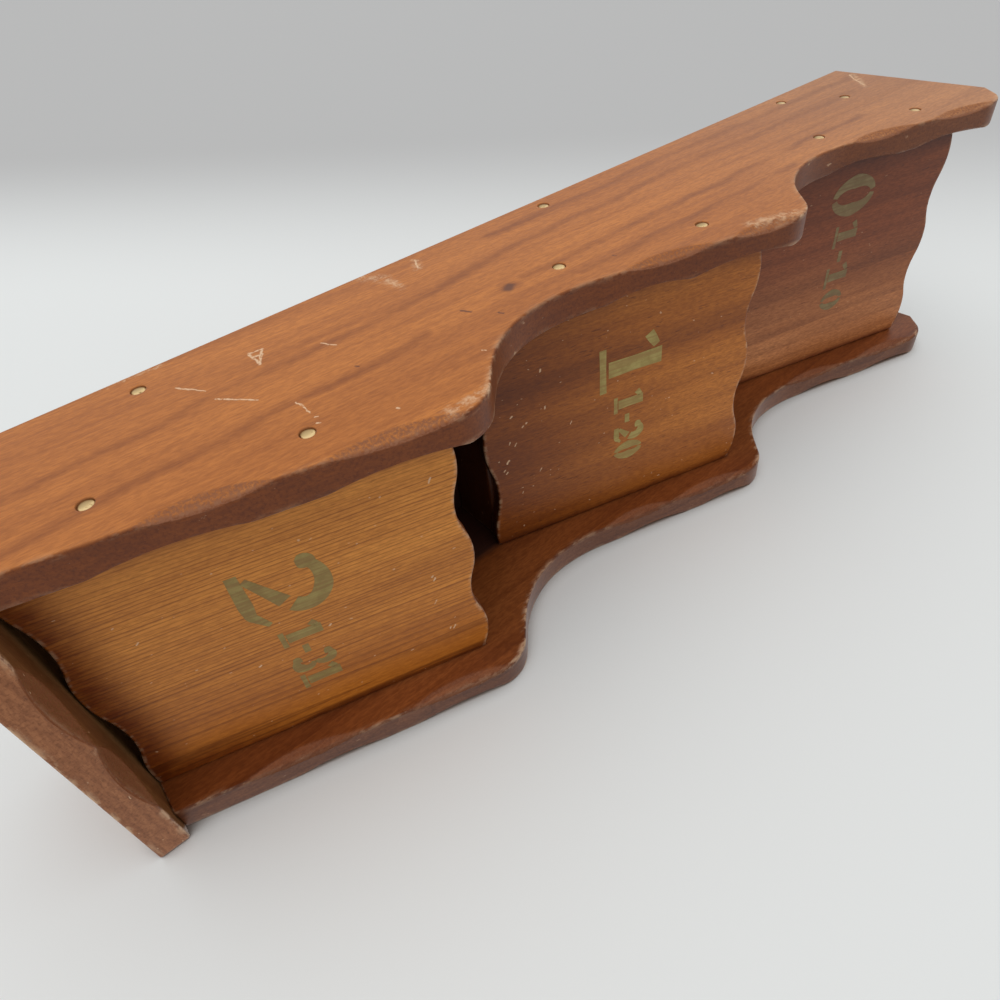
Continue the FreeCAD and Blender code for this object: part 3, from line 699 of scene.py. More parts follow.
# %% [markdown]
# A nail pulls the wood down round its head, so each nail sits in a small dent with a soft lip and a straight
# wall.  The dent is a turned shape: a profile of radius and depth carried round a circle, closed by one point
# at its bottom.

# %% Dents and caps
AROUND = np.linspace(0.0, 2 * math.pi, 28, endpoint=False)
CIRCLE = np.stack([np.cos(AROUND), np.sin(AROUND)], axis=1)
SEAT_RADII = np.array([4.0, 2.80, 2.62, 2.50, 2.42, 2.38, 2.36, 1.2])
SEAT_DEPTHS = np.array([0.0, 0.0, 0.03, 0.11, 0.28, 0.55, 0.90, 0.90])
SEAT_MASK = np.array([0.0, 0.0, 0.1, 0.3, 0.7, 1.0, 1.0, 1.0])


def grid_faces(rows, columns, first=0):
    """Corner numbers of the quads of a grid whose columns are joined into a ring."""
    number = first + np.arange(rows * columns).reshape(rows, columns)
    number = np.concatenate([number, number[:, :1]], axis=1)
    quads = [number[:-1, :-1], number[:-1, 1:], number[1:, 1:], number[1:, :-1]]
    return np.stack(quads, axis=-1).reshape(-1, 4)


def fan_faces(first, pole):
    """Triangles from a ring of points, numbered on from first, to one point."""
    ring = first + np.arange(len(CIRCLE))
    return np.stack([ring, np.roll(ring, -1), np.full(len(CIRCLE), pole)], axis=1)


def raised(plane, height):
    """Points from places in a plane and their heights."""
    height = np.broadcast_to(height, plane.shape[:-1])
    return np.concatenate([plane, height[..., None]], axis=-1).reshape(-1, 3)


class Skin:
    """Points, faces and vertex masks of one piece, gathered part by part."""

    def __init__(self):
        self.points = np.zeros((0, 3))
        self.masks = {name: np.zeros(0) for name in MASKS}
        self.faces = []

    def add(self, points, faces, **masks):
        """Append a part: its points, its faces numbered from 0, and the masks that aren't 0 on it."""
        self.faces += [row for block in faces for row in (np.asarray(block) + len(self.points)).tolist()]
        self.points = np.concatenate([self.points, points])
        for name, values in self.masks.items():
            extra = np.broadcast_to(masks.get(name, 0.0), len(points))
            self.masks[name] = np.concatenate([values, extra])


def seat_part(skin, centre, face, into):
    """A nail's dent in a face at height face: the seat profile turned about the centre, and its bottom."""
    height = face + into * SEAT_DEPTHS
    points = raised(centre + SEAT_RADII[:, None, None] * CIRCLE, height[:, None])
    bottom = raised(centre[None], height[-1])
    fan = fan_faces(len(points) - len(CIRCLE), len(points))
    mask = np.append(np.repeat(SEAT_MASK, len(CIRCLE)), 1.0)
    skin.add(np.concatenate([points, bottom]), [grid_faces(len(SEAT_RADII), len(CIRCLE)), fan], seat=mask)


def cap_part(skin, border, face, holes, inner):
    """Triangles over a face inside its innermost ring, except in round holes, given as (centre, radius)."""
    loops = [border] + [centre + radius * CIRCLE for centre, radius in holes]
    sizes = [len(loop) for loop in loops]
    firsts = np.concatenate([[0], np.cumsum(sizes)[:-1]])
    edges = [grid_faces(2, size, first)[:, :2] for size, first in zip(sizes, firsts)]
    plane = [Vector(point) for point in np.concatenate(loops)]
    made = delaunay_2d_cdt(plane, np.concatenate(edges).tolist(), [], 1, 1e-7)
    flat = np.array([tuple(point) for point in made[0]])
    triangles = np.array(made[2])
    middle = flat[triangles].mean(axis=1)
    keep = np.ones(len(triangles), bool)
    for centre, radius in holes:
        keep &= np.linalg.norm(middle - centre, axis=1) > radius * 0.99
    skin.add(raised(flat, face), [triangles[keep]], inner=inner)


print("a nail's dent is", SEAT_RADII[1] * 2, "mm wide and", SEAT_DEPTHS.max(), "mm deep")

# %% [markdown]
# The scoops along the front corners were cut by hand with a gouge.  A gouge leaves a shallow cylinder, so a
# point of the skin that lies outside the cylinder's surface is pushed back onto it, straight along the cut's
# direction.

# %% Boards
BORE_LIP = 0.8
WELD = 2e-7
SHARP_ANGLE = math.radians(38.0)


class Scoop:
    """A gouge cut on a corner: where it is, the way along the corner, and the ways in along its two faces.

    A cut of length l and depth d has the radius l^2 / 8d + d / 2.
    """

    def __init__(self, corner, along, face_way, face_reach, edge_way, edge_reach, length):
        width = math.hypot(face_reach, edge_reach)
        self.corner = np.array(corner)
        self.along = np.array(along)
        self.outward = -(np.array(face_way) * edge_reach + np.array(edge_way) * face_reach) / width
        self.depth = face_reach * edge_reach / width
        self.radius = length ** 2 / (8 * self.depth) + self.depth / 2

    def cut(self, points):
        """Push points onto the cylinder, whose depth along the cut is sqrt(r^2 - along^2) - (r - depth)."""
        offset = points - self.corner
        along = offset @ self.along
        depth = np.sqrt(np.maximum(self.radius ** 2 - along ** 2, 0.0)) - (self.radius - self.depth)
        proud = offset @ self.outward + depth
        proud = np.where(depth > 0.0, np.maximum(proud, 0.0), 0.0)
        return points - proud[:, None] * self.outward, np.clip(proud / 0.15, 0.0, 1.0)


def show_piece(name, skin, material, nodes):
    """Make the object: weld, turn faces outward, smooth, hang it on the root and hide the solids it replaces.
    """
    mesh = bpy.data.meshes.new(name)
    mesh.from_pydata(skin.points * MM, [], skin.faces)
    for mask, values in skin.masks.items():
        layer = mesh.attributes.new(mask, "FLOAT", "POINT")
        layer.data.foreach_set("value", values.astype(np.float32))
    work = bmesh.new()
    work.from_mesh(mesh)
    bmesh.ops.remove_doubles(work, verts=work.verts, dist=WELD)
    bmesh.ops.recalc_face_normals(work, faces=work.faces)
    work.to_mesh(mesh)
    work.free()
    mesh.shade_smooth()
    mesh.set_sharp_from_angle(angle=SHARP_ANGLE)
    mesh.materials.append(material)
    piece = bpy.data.objects.new(name, mesh)
    scene.collection.objects.link(piece)
    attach(piece, "root")
    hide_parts(*nodes)
    mesh.calc_loop_triangles()
    print(name, "has", len(mesh.loop_triangles), "triangles")


def placed(points, axes):
    """Points moved from a board's own frame: axes are the directions of its three numbers, and the origin."""
    first, second, third, origin = (np.array(axis, float) for axis in axes)
    return origin + points @ np.stack([first, second, third])


def board_skin(outline, low, high, axes, seats=((), ()), bores=(), scoops=(), depth=1.2, reach=1.0, wear=0.5,
               inner=(0.0, 0.0)):
    """Skin of a board: rings over its outline, a cap on each face, a dent for each nail, a wall for each bore.

    reach, for each outline point, is how much of the rings' depth is used there, and wear is how worn its
    corners are.  seats are the nails in the low and the high face, and inner is 1 for a face in a pocket.
    """
    size = len(outline)
    inset, height, stain, rim = edge_rings(low, high, depth)
    deep = np.maximum(inset - EDGE_RADIUS, 0.0)[:, None] * np.broadcast_to(reach, size)
    pulled = np.minimum(inset, EDGE_RADIUS)[:, None] + deep
    plane = outline + pulled[..., None] * inward(outline)
    inside = np.where(height < (low + high) / 2, *inner) * (1.0 - stain ** 4)
    skin = Skin()
    skin.add(raised(plane, height[:, None]), [grid_faces(len(inset), size)], edge=np.repeat(stain, size),
             rim=(rim[:, None] * np.broadcast_to(wear, size)).ravel(), inner=np.repeat(inside, size),
             along=np.tile(np.cumsum(steps(outline)), len(inset)), across=(pulled + height[:, None]).ravel())
    bores = [(np.array(centre), radius) for centre, radius in bores]
    wide = [(centre, radius + BORE_LIP) for centre, radius in bores]
    for ring, face, into, nails, shade in zip((0, -1), (low, high), (1.0, -1.0), seats, inner):
        centres = [np.array(nail) for nail in nails]
        cap_part(skin, plane[ring], face, [(centre, SEAT_RADII[0]) for centre in centres] + wide, shade)
        for centre in centres:
            seat_part(skin, centre, face, into)
    for centre, radius in bores:
        radii = radius + np.array([BORE_LIP, 0.0, 0.0, BORE_LIP])
        ends = np.array([low, low, high, high])
        skin.add(raised(centre + radii[:, None, None] * CIRCLE, ends[:, None]), [grid_faces(4, len(CIRCLE))],
                 edge=np.repeat([0.0, 1.0, 1.0, 0.0], len(CIRCLE)),
                 inner=np.repeat([inner[0], 0.0, 0.0, inner[1]], len(CIRCLE)))
    skin.points = placed(skin.points, axes)
    for scoop in scoops:
        skin.points, cut = scoop.cut(skin.points)
        skin.masks["carved"] = np.maximum(skin.masks["carved"], cut)
    return skin


print("a screw hole's lip is", BORE_LIP, "mm wide")

# %% [markdown]
# ## The two sides
#
# Each side is one board, fretsawn so that its front edge steps back in three leaning tiers.  A tier is a
# straight run, a round nose, a short steep run and a hollow that eases into the next tier.  Drawn with
# straight lines the outline is a plain zigzag, and each of its corners is then rounded by its own radius.

# %% Outline of a side
STEEP = math.radians(48.0)
NOSE_RADIUS = 17.0
STEEP_RUN = 8.8
HOLLOW_RADIUS = 48.5
THROAT_RADIUS = 75.0
NOSE_DROP = 326.25
SHARP = 1.3
HALF_WIDTH = 65.0
HALF_INSIDE = 54.2
TIERS = ("lower", "middle", "upper")
UP_LEAN = np.array(ALONG_LEAN)
INTO_WOOD = np.array([0.0, math.cos(LEAN), math.sin(LEAN)])
RIGHT = np.array([1.0, 0.0, 0.0])
SIDE_AXES = ((0, 1, 0), (0, 0, 1), (1, 0, 0), (0, 0, 0))

side_low, side_high = (np.array(corner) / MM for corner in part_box("side_left"))
BACK_EDGE, TOP_END = side_high[1:]
nose_tip = np.array([side_low[1], TOP_END - NOSE_DROP])


def heading(angle):
    """Unit way in the side view at an angle from upright, positive towards the wall."""
    return np.array([math.sin(angle), math.cos(angle)])


def side_corners():
    """Corners and radii of a side's outline, from the back of its foot round the front.  Gives the noses too.

    A corner with radius r and turn t takes r * tan(t / 2) of each of its runs, so the next corner is the sum of
    two such lengths and the straight run away.
    """
    forward = heading(-LEAN)
    nose_cut = NOSE_RADIUS * math.tan((LEAN + STEEP) / 2)
    hollow_cut = HOLLOW_RADIUS * math.tan(STEEP / 2)
    throat_cut = THROAT_RADIUS * math.tan(LEAN / 2)
    first_nose = nose_tip + NOSE_RADIUS * (np.array([1 - math.cos(LEAN), -math.sin(LEAN)]))
    hollow_step = heading(STEEP) * (nose_cut + STEEP_RUN + hollow_cut)
    throat_step = heading(0.0) * (hollow_cut + throat_cut)
    rise = forward * nose_cut + hollow_step + throat_step + forward * throat_cut
    tier_step = rise + forward * (TIER_STEP[1] - rise[1]) / math.cos(LEAN)
    toe = first_nose - forward * (first_nose[1] - side_low[2]) / math.cos(LEAN)
    noses = [first_nose + tier_step * tier for tier in range(len(TIERS))]
    corners = [(BACK_EDGE, side_low[2]), toe]
    radii = [SHARP, SHARP]
    for nose in noses:
        tip = nose + forward * nose_cut
        corners += [tip, tip + hollow_step, tip + hollow_step + throat_step]
        radii += [NOSE_RADIUS, HOLLOW_RADIUS, THROAT_RADIUS]
    corners[-2:] = [tip + heading(STEEP) * (TOP_END - tip[1]) / math.cos(STEEP), (BACK_EDGE, TOP_END)]
    radii[-2:] = [SHARP, SHARP]
    return corners, radii, noses


corners, radii, noses = side_corners()
side_outline = rounded_outline(corners, radii, 1.1)
print("a side's outline has", len(side_outline), "points")

# %% [markdown]
# Along the front corners the rings reach deep, to give the gouge enough points.  At the square corners they
# would cross, so there they stay close to the edge.  Hands have worn the noses most.

# %% The two sides
SCOOP_BACK = 4.6
SCOOP_IN = 2.5
OUTER_SCOOPS = [[(-64, 36), (-14, 44)], [(-49, 38), (-8, 32)], [(-58, 36), (-12, 40)]]
INNER_SCOOPS = [[(-76, 44), (-15, 46)], [(-57, 36), (-17, 46)], [(-66, 40), (-16, 46)]]
PANEL_NAILS = [[(-31.6, 1.6), (-88.0, 2.5)], [(-21.8, 2.6), (-79.3, 3.4)], [(-22.0, 2.0), (-76.3, 1.6)]]
BACK_NAILS = [(0.0, -50.2), (1.8, -207.7), (-2.0, -376.4)]
RAIL_NAIL = (-20.8, -28.9)
PANEL_SETBACK = 13.9
SIDE_DEPTH = 6.0
LEAST_REACH = 0.06
SQUARE_ROOM = 1.5
SQUARE_EASE = 12.0
BACK_EASE = 4.0
NOSE_MIDDLE = (0.0, 12.0)
NOSE_WEAR = 22.0


def nearest(points, targets):
    """Distance of each point from the nearest of some targets."""
    return np.linalg.norm(points[:, None] - np.array(targets), axis=2).min(axis=1)


panel_origins = [np.array([0.0, nose[0] + PANEL_SETBACK, nose[1]]) for nose in noses]
panel_nails = [[tuple((origin + UP_LEAN * along + INTO_WOOD * inset)[1:]) for along, inset in row]
               for origin, row in zip(panel_origins, PANEL_NAILS)]
side_nails = [nail for row in panel_nails for nail in row] + BACK_NAILS + [RAIL_NAIL]
side_scoops = []
for x, way, rows in ((-HALF_WIDTH, RIGHT, OUTER_SCOOPS), (-HALF_INSIDE, -RIGHT, INNER_SCOOPS)):
    for nose, row in zip(noses, rows):
        for along, length in row:
            corner = (x, *nose) + UP_LEAN * along
            side_scoops.append(Scoop(corner, UP_LEAN, INTO_WOOD, SCOOP_BACK, way, SCOOP_IN, length))
from_square = nearest(side_outline, [corner for corner, radius in zip(corners, radii) if radius == SHARP])
from_ends = np.minimum(side_outline[:, 1] - side_low[2], TOP_END - side_outline[:, 1])
from_back = np.minimum(BACK_EDGE - side_outline[:, 0], from_ends)
eased = np.minimum((from_square - SQUARE_ROOM) / SQUARE_EASE, from_back / BACK_EASE)
side_reach = np.clip(eased, LEAST_REACH, 1.0)
from_nose = nearest(side_outline, np.array(noses) + NOSE_MIDDLE)
side_wear = 0.2 + 0.6 * np.exp(-(from_nose / NOSE_WEAR) ** 2)
side = board_skin(side_outline, -HALF_WIDTH, -HALF_INSIDE, SIDE_AXES, (side_nails, ()), scoops=side_scoops,
                  depth=SIDE_DEPTH, reach=side_reach, wear=side_wear, inner=(0.0, 1.0))
show_piece("side_left_board", side, wood_left, ["side_left"])
side.points = side.points * (-1.0, 1.0, 1.0)
side.masks["rim"] = np.minimum(side.masks["rim"] * 1.6, 0.6)
show_piece("side_right_board", side, wood_right, ["side_right"])

# %% [markdown]
# ## Base board
#
# The base board closes the bottom and carries the sides.  Its top front corner has two long gouged scoops.

# %% Base board
BASE_NAILS = [(x, y) for x in (-59.6, 59.6) for y in (-6.5, -36.5)]
BASE_SCOOP_X = (-20.0, 20.0)
BASE_SCOOP_BACK = 8.5
BASE_SCOOP_DOWN = 3.2
BASE_SCOOP_LENGTH = 42.0
BASE_DEPTH = 10.0
BASE_EASE = 14.0
BASE_LEAST_REACH = 0.05
FLAT_AXES = ((1, 0, 0), (0, 1, 0), (0, 0, 1), (0, 0, 0))


def rectangle(low, high):
    """Corners of a rectangle, anticlockwise."""
    return [(low[0], low[1]), (high[0], low[1]), (high[0], high[1]), (low[0], high[1])]


base_low, base_high = (np.array(corner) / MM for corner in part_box("base_board"))
base_outline = rounded_outline(rectangle(base_low, base_high), SHARP, 1.0)
base_scoops = [Scoop((x, base_low[1], base_high[2]), RIGHT, (0, 1, 0), BASE_SCOOP_BACK, (0, 0, -1),
                     BASE_SCOOP_DOWN, BASE_SCOOP_LENGTH) for x in BASE_SCOOP_X]
at_front = np.abs(base_outline[:, 1] - base_low[1]) < 0.01
from_end = HALF_WIDTH - np.abs(base_outline[:, 0])
eased = np.clip((from_end - SQUARE_ROOM) / BASE_EASE, BASE_LEAST_REACH, 1.0)
base_reach = np.where(at_front, eased, BASE_LEAST_REACH)
base_wear = np.where(at_front, 0.8, 0.15)
base = board_skin(base_outline, base_low[2], base_high[2], FLAT_AXES, (BASE_NAILS, ()), scoops=base_scoops,
                  depth=BASE_DEPTH, reach=base_reach, wear=base_wear, inner=(0.0, 1.0))
show_piece("base_plank", base, wood_base, ["base_board"])

# %% [markdown]
# ## Front panels
#
# The three panels are thin boards with scalloped top and bottom edges.  A scallop is a row of equal arcs that
# bulge up and down by turns and meet on a straight line.

# %% Front panels
PANEL_THICKNESS = 6.4
PANEL_TOP = 4.8
PANEL_BOTTOMS = (-119.7, -115.7, -115.7)
PANEL_DEPTH = 1.6
TOP_HALF_WAVE = 20.15
TOP_WAVE = 1.8
BOTTOM_HALF_WAVE = 24.35
BOTTOM_WAVE = 1.7


def scallop(x, half_wave, height):
    """Rise of the scalloped line at x: arcs of chord half_wave and the given height, a crest at x = 0.

    The nearest crest is a whole number of half waves away; the arc's circle gives the rise there, and every
    second one points down.
    """
    radius = half_wave ** 2 / (8 * height) + height / 2
    number = np.round(x / half_wave)
    rise = np.sqrt(radius ** 2 - (x - number * half_wave) ** 2) - (radius - height)
    return rise * np.where(number % 2 == 0, 1.0, -1.0)


def panel_outline(bottom):
    """Closed outline of a panel: scalloped bottom edge, right end, scalloped top edge, left end.

    The corner points themselves are left out, which takes a hair off each corner.
    """
    across = np.linspace(-HALF_INSIDE, HALF_INSIDE, 136)
    bottom_edge = np.stack([across, bottom - scallop(across, BOTTOM_HALF_WAVE, BOTTOM_WAVE)], axis=1)
    top_edge = np.stack([across, PANEL_TOP + scallop(across, TOP_HALF_WAVE, TOP_WAVE)], axis=1)[::-1]
    climb = np.linspace(0.0, 1.0, 122)[1:-1, None]
    right_end = bottom_edge[-1] + climb * (top_edge[0] - bottom_edge[-1])
    left_end = top_edge[-1] + climb * (bottom_edge[0] - top_edge[-1])
    return np.concatenate([bottom_edge[1:-1], right_end, top_edge[1:-1], left_end])


panel_axes = [(RIGHT, UP_LEAN, INTO_WOOD, origin) for origin in panel_origins]
panel_finishes = (wood_lower, wood_middle, wood_upper)
for tier, axes, bottom, finish in zip(TIERS, panel_axes, PANEL_BOTTOMS, panel_finishes):
    outline = panel_outline(bottom)
    wear = np.where(np.abs(outline[:, 0]) < HALF_INSIDE - 0.01, 0.5, 0.0)
    panel = board_skin(outline, 0.0, PANEL_THICKNESS, axes, depth=PANEL_DEPTH, wear=wear, inner=(0.0, 1.0))
    show_piece(f"panel_{tier}", panel, finish, [f"front_panel_{tier}"])

# %% [markdown]
# ## Back board, pocket floors and top rail
#
# These are plain sawn boards.  The back board has two holes for wall screws near its top, and shows the nails
# that hold the pocket floors.

# %% Back board, pocket floors and top rail
UPRIGHT_AXES = ((1, 0, 0), (0, 0, 1), (0, 1, 0), (0, 0, 0))
SCREW_HOLES = [((-30.0, 0.0), 2.5), ((30.0, 0.0), 2.5)]
FLOOR_NAIL_X = (-30.0, 30.0)
FLOOR_NAIL_Z = (-272.52, -118.82)
FLOOR_NAILS = [(x, z) for x in FLOOR_NAIL_X for z in FLOOR_NAIL_Z]

back_low, back_high = (np.array(corner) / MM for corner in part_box("back_board"))
back_outline = rounded_outline(rectangle(back_low[[0, 2]], back_high[[0, 2]]), SHARP, 3.0)
back = board_skin(back_outline, back_low[1], back_high[1], UPRIGHT_AXES, ((), FLOOR_NAILS), SCREW_HOLES,
                  wear=0.0, inner=(1.0, 0.0))
show_piece("back_plank", back, wood_back, ["back_board"])

for tier in TIERS[1:]:
    low, high = (np.array(corner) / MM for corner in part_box(f"pocket_floor_{tier}"))
    corners = rectangle(low[1:], high[1:])
    corners[0] = (low[1] + (high[2] - low[2]) * math.tan(LEAN), low[2])
    floor = board_skin(rounded_outline(corners, SHARP, 1.5), low[0], high[0], SIDE_AXES)
    show_piece(f"floor_{tier}", floor, wood_inner, [f"pocket_floor_{tier}"])

low, high = (np.array(corner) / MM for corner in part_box("top_rail"))
rail = board_skin(rounded_outline(rectangle(low[1:], high[1:]), SHARP, 1.5), low[0], high[0], SIDE_AXES)
show_piece("rail_batten", rail, wood_inner, ["top_rail"])

# %% [markdown]
# ## Brass nails
#
# The nails are turned shapes too: a pointed shank, a flat seat and a low domed head.  Each head was struck
# with a hammer, so it gets its own small tilt, and its rim is out of round.  The brass is tarnished in patches,
# and the slope of each dome that faces the wall is darkened with the same tone as painted shade.

# %% Brass nails
NAIL_RADII = np.array([0.05, 0.9, 0.9, 2.18, 2.22, 2.12, 1.85, 1.35, 0.78])
NAIL_HEIGHTS = np.array([-25.0, -23.0, 0.0, 0.0, 0.22, 0.46, 0.63, 0.73, 0.78])
HEAD_TILT = 0.08
HEAD_SUNK = 0.05
OUT_OF_ROUND = (0.03, 0.025)
BRASS = (1.0, 0.74, 0.38)
TARNISH_AND_SHADE = (0.40, 0.25, 0.095)
rng = np.random.default_rng(7)


def brass_finish():
    """Aged brass with fine hammer marks, tarnished in patches, and painted shade on the dome's back slope."""
    material, start = empty_material("brass_nails")
    place = own_place(start)
    place = place.vector("MULTIPLY", place, (1 / MM,) * 3)
    patch = place.cloud(1.5, 3.0, 0.6)
    slope = start.node("ShaderNodeNewGeometry", {}, {}, "Normal").parts().out("Y")
    # Painted shade: the slope of each dome that faces the wall takes the tarnish tone.
    shaded_slope = slope.between(-0.22, 0.18) * slope.between(0.90, 0.60) * 0.85
    colour = patch.between(0.50, 0.75).most(shaded_slope).blend(BRASS, TARNISH_AND_SHADE)
    surface(start, colour, 0.26 + patch * 0.24, place.cloud(0.25) + patch, 0.4, 0.06, {"Metallic": 1.0})
    return material


def nail_part(skin, place, outward):
    """A nail with its seat below place: the nail profile turned about outward, its dome a little tilted.

    The rim's radius varies round the nail as 1 plus a small cosine of twice and of three times the angle.
    """
    outward = np.array(outward, float)
    first = np.roll(outward, 1)
    second = np.cross(outward, first)
    tilt = rng.uniform(-HEAD_TILT, HEAD_TILT, 2)
    phase = rng.uniform(0.0, 2 * math.pi, 2)
    uneven = 1.0
    for waves, size, begin in zip((2, 3), OUT_OF_ROUND, phase):
        uneven = uneven + size * np.cos(waves * AROUND + begin)
    head = ((NAIL_HEIGHTS > 0.1) * NAIL_RADII)[:, None]
    lift = NAIL_HEIGHTS[:, None] + head * (CIRCLE @ tilt) * 0.6 - (head > 0) * HEAD_SUNK
    ring = NAIL_RADII[:, None, None] * uneven[:, None] * (CIRCLE[:, :1] * first + CIRCLE[:, 1:] * second)
    seat = np.array(place) - outward * SEAT_DEPTHS[-1]
    points = (seat + ring + lift[..., None] * outward).reshape(-1, 3)
    poles = np.array([seat + outward * NAIL_HEIGHTS[0], seat + outward * (NAIL_HEIGHTS[-1] - 0.03)])
    total = len(points)
    fans = [fan_faces(0, total), fan_faces(total - len(CIRCLE), total + 1)]
    skin.add(np.concatenate([points, poles]), [grid_faces(len(NAIL_RADII), len(CIRCLE)), *fans])


def nail_set(name, node, places):
    """One piece with all the nails of a node, given as (place, outward)."""
    skin = Skin()
    for place, outward in places:
        nail_part(skin, place, outward)
    show_piece(name, skin, brass, [node])


def on_both_sides(points):
    """Nails through the two sides at points of the side view."""
    return [((way * HALF_WIDTH, *point), (way, 0, 0)) for point in points for way in (-1, 1)]


brass = brass_finish()
for tier, row in zip(TIERS, panel_nails):
    nail_set(f"brass_panel_{tier}", f"nails_{tier}_panel", on_both_sides(row))
nail_set("brass_back", "nails_back_board", on_both_sides(BACK_NAILS))
nail_set("brass_rail", "nails_top_rail", on_both_sides([RAIL_NAIL]))
nail_set("brass_base", "nails_base_board", [((x, y, base_low[2]), (0, 0, -1)) for x, y in BASE_NAILS])
for tier, z in zip(TIERS[1:], FLOOR_NAIL_Z):
    nail_set(f"brass_floor_{tier}", f"nails_{tier}_floor",
             [((x, back_high[1], z), (0, 1, 0)) for x in FLOOR_NAIL_X])

# %% [markdown]
# ## Painted numbers
#
# Each pocket is labelled in olive paint through a stencil.  Plain numbers say which days of the month a
# pocket is for.  A character is a few brush-wide strokes: a path with a width that swells into a ball where
# the stroke ends.  Drawn as ribbons, the strokes keep the gaps that a stencil's bridges leave.

# %% Strokes of the figures
def walked(path):
    """Distance along a path from its start to each of its points."""
    return np.concatenate([[0.0], np.cumsum(np.linalg.norm(np.diff(path, axis=0), axis=1))])


def run(*points):
    """A path of straight runs through points, sampled evenly."""
    points = np.array(points)
    far = walked(points)
    at = np.linspace(0.0, far[-1], 25)
    return np.stack([np.interp(at, far, points[:, 0]), np.interp(at, far, points[:, 1])], axis=1)


def bow(centre, radii, first, last):
    """A path round an ellipse, from one angle to another in degrees."""
    angle = np.radians(np.linspace(first, last, 41))
    return np.array(centre) + np.stack([np.cos(angle), np.sin(angle)], axis=1) * radii


def widths(path, start, middle, end, ball=0.0):
    """Half width along a path: from start over middle to end, swollen to a ball of a given radius at its start.

    The ball's half width at a distance d from the path's start is sqrt(ball^2 - (d - ball)^2).
    """
    far = walked(path)
    plain = np.interp(far / far[-1], [0.0, 0.5, 1.0], [start, middle, end])
    round_end = np.sqrt(np.maximum(ball ** 2 - (far - ball) ** 2, 0.0))
    return np.maximum(plain * (far >= ball), round_end) if ball else plain


FIGURES = {
    "0": [(bow((0.31, 0.5), (0.20, 0.445), -83, 83), 0.050, 0.120, 0.050),
          (bow((0.31, 0.5), (0.20, 0.445), 97, 263), 0.050, 0.120, 0.050)],
    "1": [(run((0.33, 0.135), (0.33, 1.0)), 0.12, 0.11, 0.12),
          (run((0.03, 0.045), (0.63, 0.045)), 0.05, 0.045, 0.05),
          (run((0.0, 0.78), (0.18, 0.91)), 0.07, 0.065, 0.05)],
    "2": [(bow((0.30, 0.70), (0.22, 0.25), 172, -38), 0.03, 0.10, 0.10, 0.10),
          (run((0.42, 0.47), (0.10, 0.17)), 0.085, 0.06, 0.04),
          (run((0.03, 0.075), (0.46, 0.075), (0.60, 0.22)), 0.06, 0.075, 0.03)],
    "3": [(bow((0.28, 0.74), (0.20, 0.215), 168, -75), 0.03, 0.10, 0.045, 0.095),
          (bow((0.28, 0.26), (0.23, 0.215), -168, 75), 0.03, 0.115, 0.045, 0.10)],
    "-": [(run((0.02, 0.45), (0.34, 0.45)), 0.06, 0.06, 0.06)],
}
FIGURE_WIDTH = {"0": 0.64, "1": 0.66, "2": 0.64, "3": 0.62, "-": 0.36}
FIGURE_GAP = 0.08
print("strokes of each figure:", {figure: len(strokes) for figure, strokes in FIGURES.items()})

# %% [markdown]
# The paint is a hair thick.  Each stroke is a flat section carried along its path, sunk a little into the
# panel so that no gap shows, and the paint's own colour is patchy, because it went on thin.

# %% Painted numbers
PAINT_HIGH = 0.05
PAINT_SUNK = 0.05
TALL_BOLD = 1.1
SMALL_HEIGHT = 13.5
SMALL_RAISED = 6.5
SMALL_BOLD = 1.35
THIN_OLIVE = (0.26, 0.178, 0.040)
THICK_OLIVE = (0.35, 0.262, 0.075)
STREAK_OLIVE = (0.25, 0.135, 0.032)
BARE_FLECK = (0.45, 0.20, 0.07)


def ribbon_part(skin, path, half, axes):
    """A stroke of paint: four corners of a flat section carried along the path, closed at both ends."""
    side = quarter_turn(unit(np.gradient(path, axis=0))) * np.maximum(half, 0.004)[:, None]
    section = [(path + side, PAINT_SUNK), (path + side, -PAINT_HIGH), (path - side, -PAINT_HIGH),
               (path - side, PAINT_SUNK)]
    points = np.stack([raised(*corner) for corner in section], axis=1).reshape(-1, 3)
    ends = np.array([[0, 1, 2, 3], len(points) - np.array([1, 2, 3, 4])])
    skin.add(placed(points, axes), [grid_faces(len(path), 4), ends])


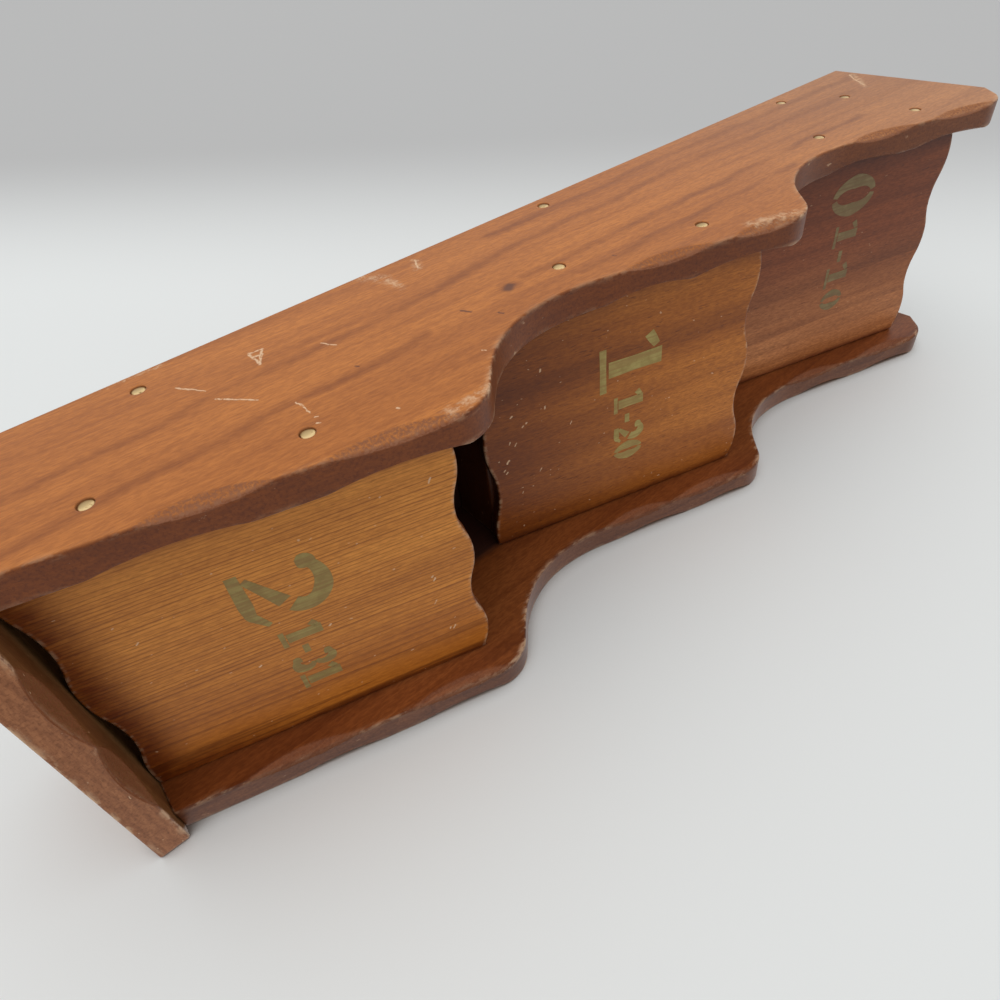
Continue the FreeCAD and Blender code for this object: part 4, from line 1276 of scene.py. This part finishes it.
def olive_paint(tier, tone):
    """Thin olive stencil paint: patchy, with the wood's streaks showing through and a few bare flecks."""
    material, start = empty_material(f"olive_paint_{tier}")
    grain = grain_place(start, GRAIN_LEANING, NO_SHIFT)
    streak = grain.cloud(1.3, 3.0, 0.6, stretch=0.05)
    patch = grain.cloud(5.0, 3.0, 0.6)
    bare = grain.cloud(0.8, 3.0, 0.7).between(0.66, 0.72)
    colour = patch.between(0.35, 0.65).blend(THIN_OLIVE, THICK_OLIVE)
    colour = (streak.between(0.62, 0.35) * 0.75).blend(colour, STREAK_OLIVE)
    colour = (bare * 0.7).blend(colour, BARE_FLECK)
    colour = colour.vector("MULTIPLY", colour, tone)
    surface(start, colour, 0.42 + patch * 0.2, streak, 0.3, 0.05, {})
    return material


def number_label(tier, axes, tone, text, left, foot, tall, first_wide, rest_wide):
    """Figures in a row on a panel: a tall one, then small ones, each drawn wider by its own factor."""
    skin = Skin()
    x = left
    for place, figure in enumerate(text):
        height, wide, base, bold = tall, first_wide, foot, TALL_BOLD
        if place:
            height, wide, base, bold = SMALL_HEIGHT, rest_wide, foot + SMALL_RAISED, SMALL_BOLD
        for path, *shape in FIGURES[figure]:
            half = widths(path, *shape) * height * bold
            ribbon_part(skin, path * (height * wide, height) + (x, base), half, axes)
        x += (FIGURE_WIDTH[figure] + FIGURE_GAP) * height * wide
    show_piece(f"number_{tier}", skin, olive_paint(tier, tone), [])
    print(f"label on the {tier} panel ends at x =", round(x, 1))


LABELS = [((1.0, 1.0, 1.0), "21-31", -28.0, -69.0, 28.0, 1.55, 0.95),
          ((1.25, 1.32, 1.4), "11-20", -29.0, -65.5, 28.0, 1.2, 1.0),
          ((0.72, 0.70, 1.0), "01-10", -44.0, -62.0, 25.0, 1.3, 1.35)]
for tier, axes, label in zip(TIERS, panel_axes, LABELS):
    number_label(tier, axes, *label)

# %% [markdown]
# ## Size
#
# Both boxes are measured, and how far the visual model grows past the imported solids' box is printed. The
# visual model has to stay inside the imported solids' box.

# %% Size
visual_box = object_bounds()
grown = [now - then for now, then in zip(visual_box, cad_box)]
print("grown by mm:", [[round(part / MM, 2) for part in corner] for corner in grown])
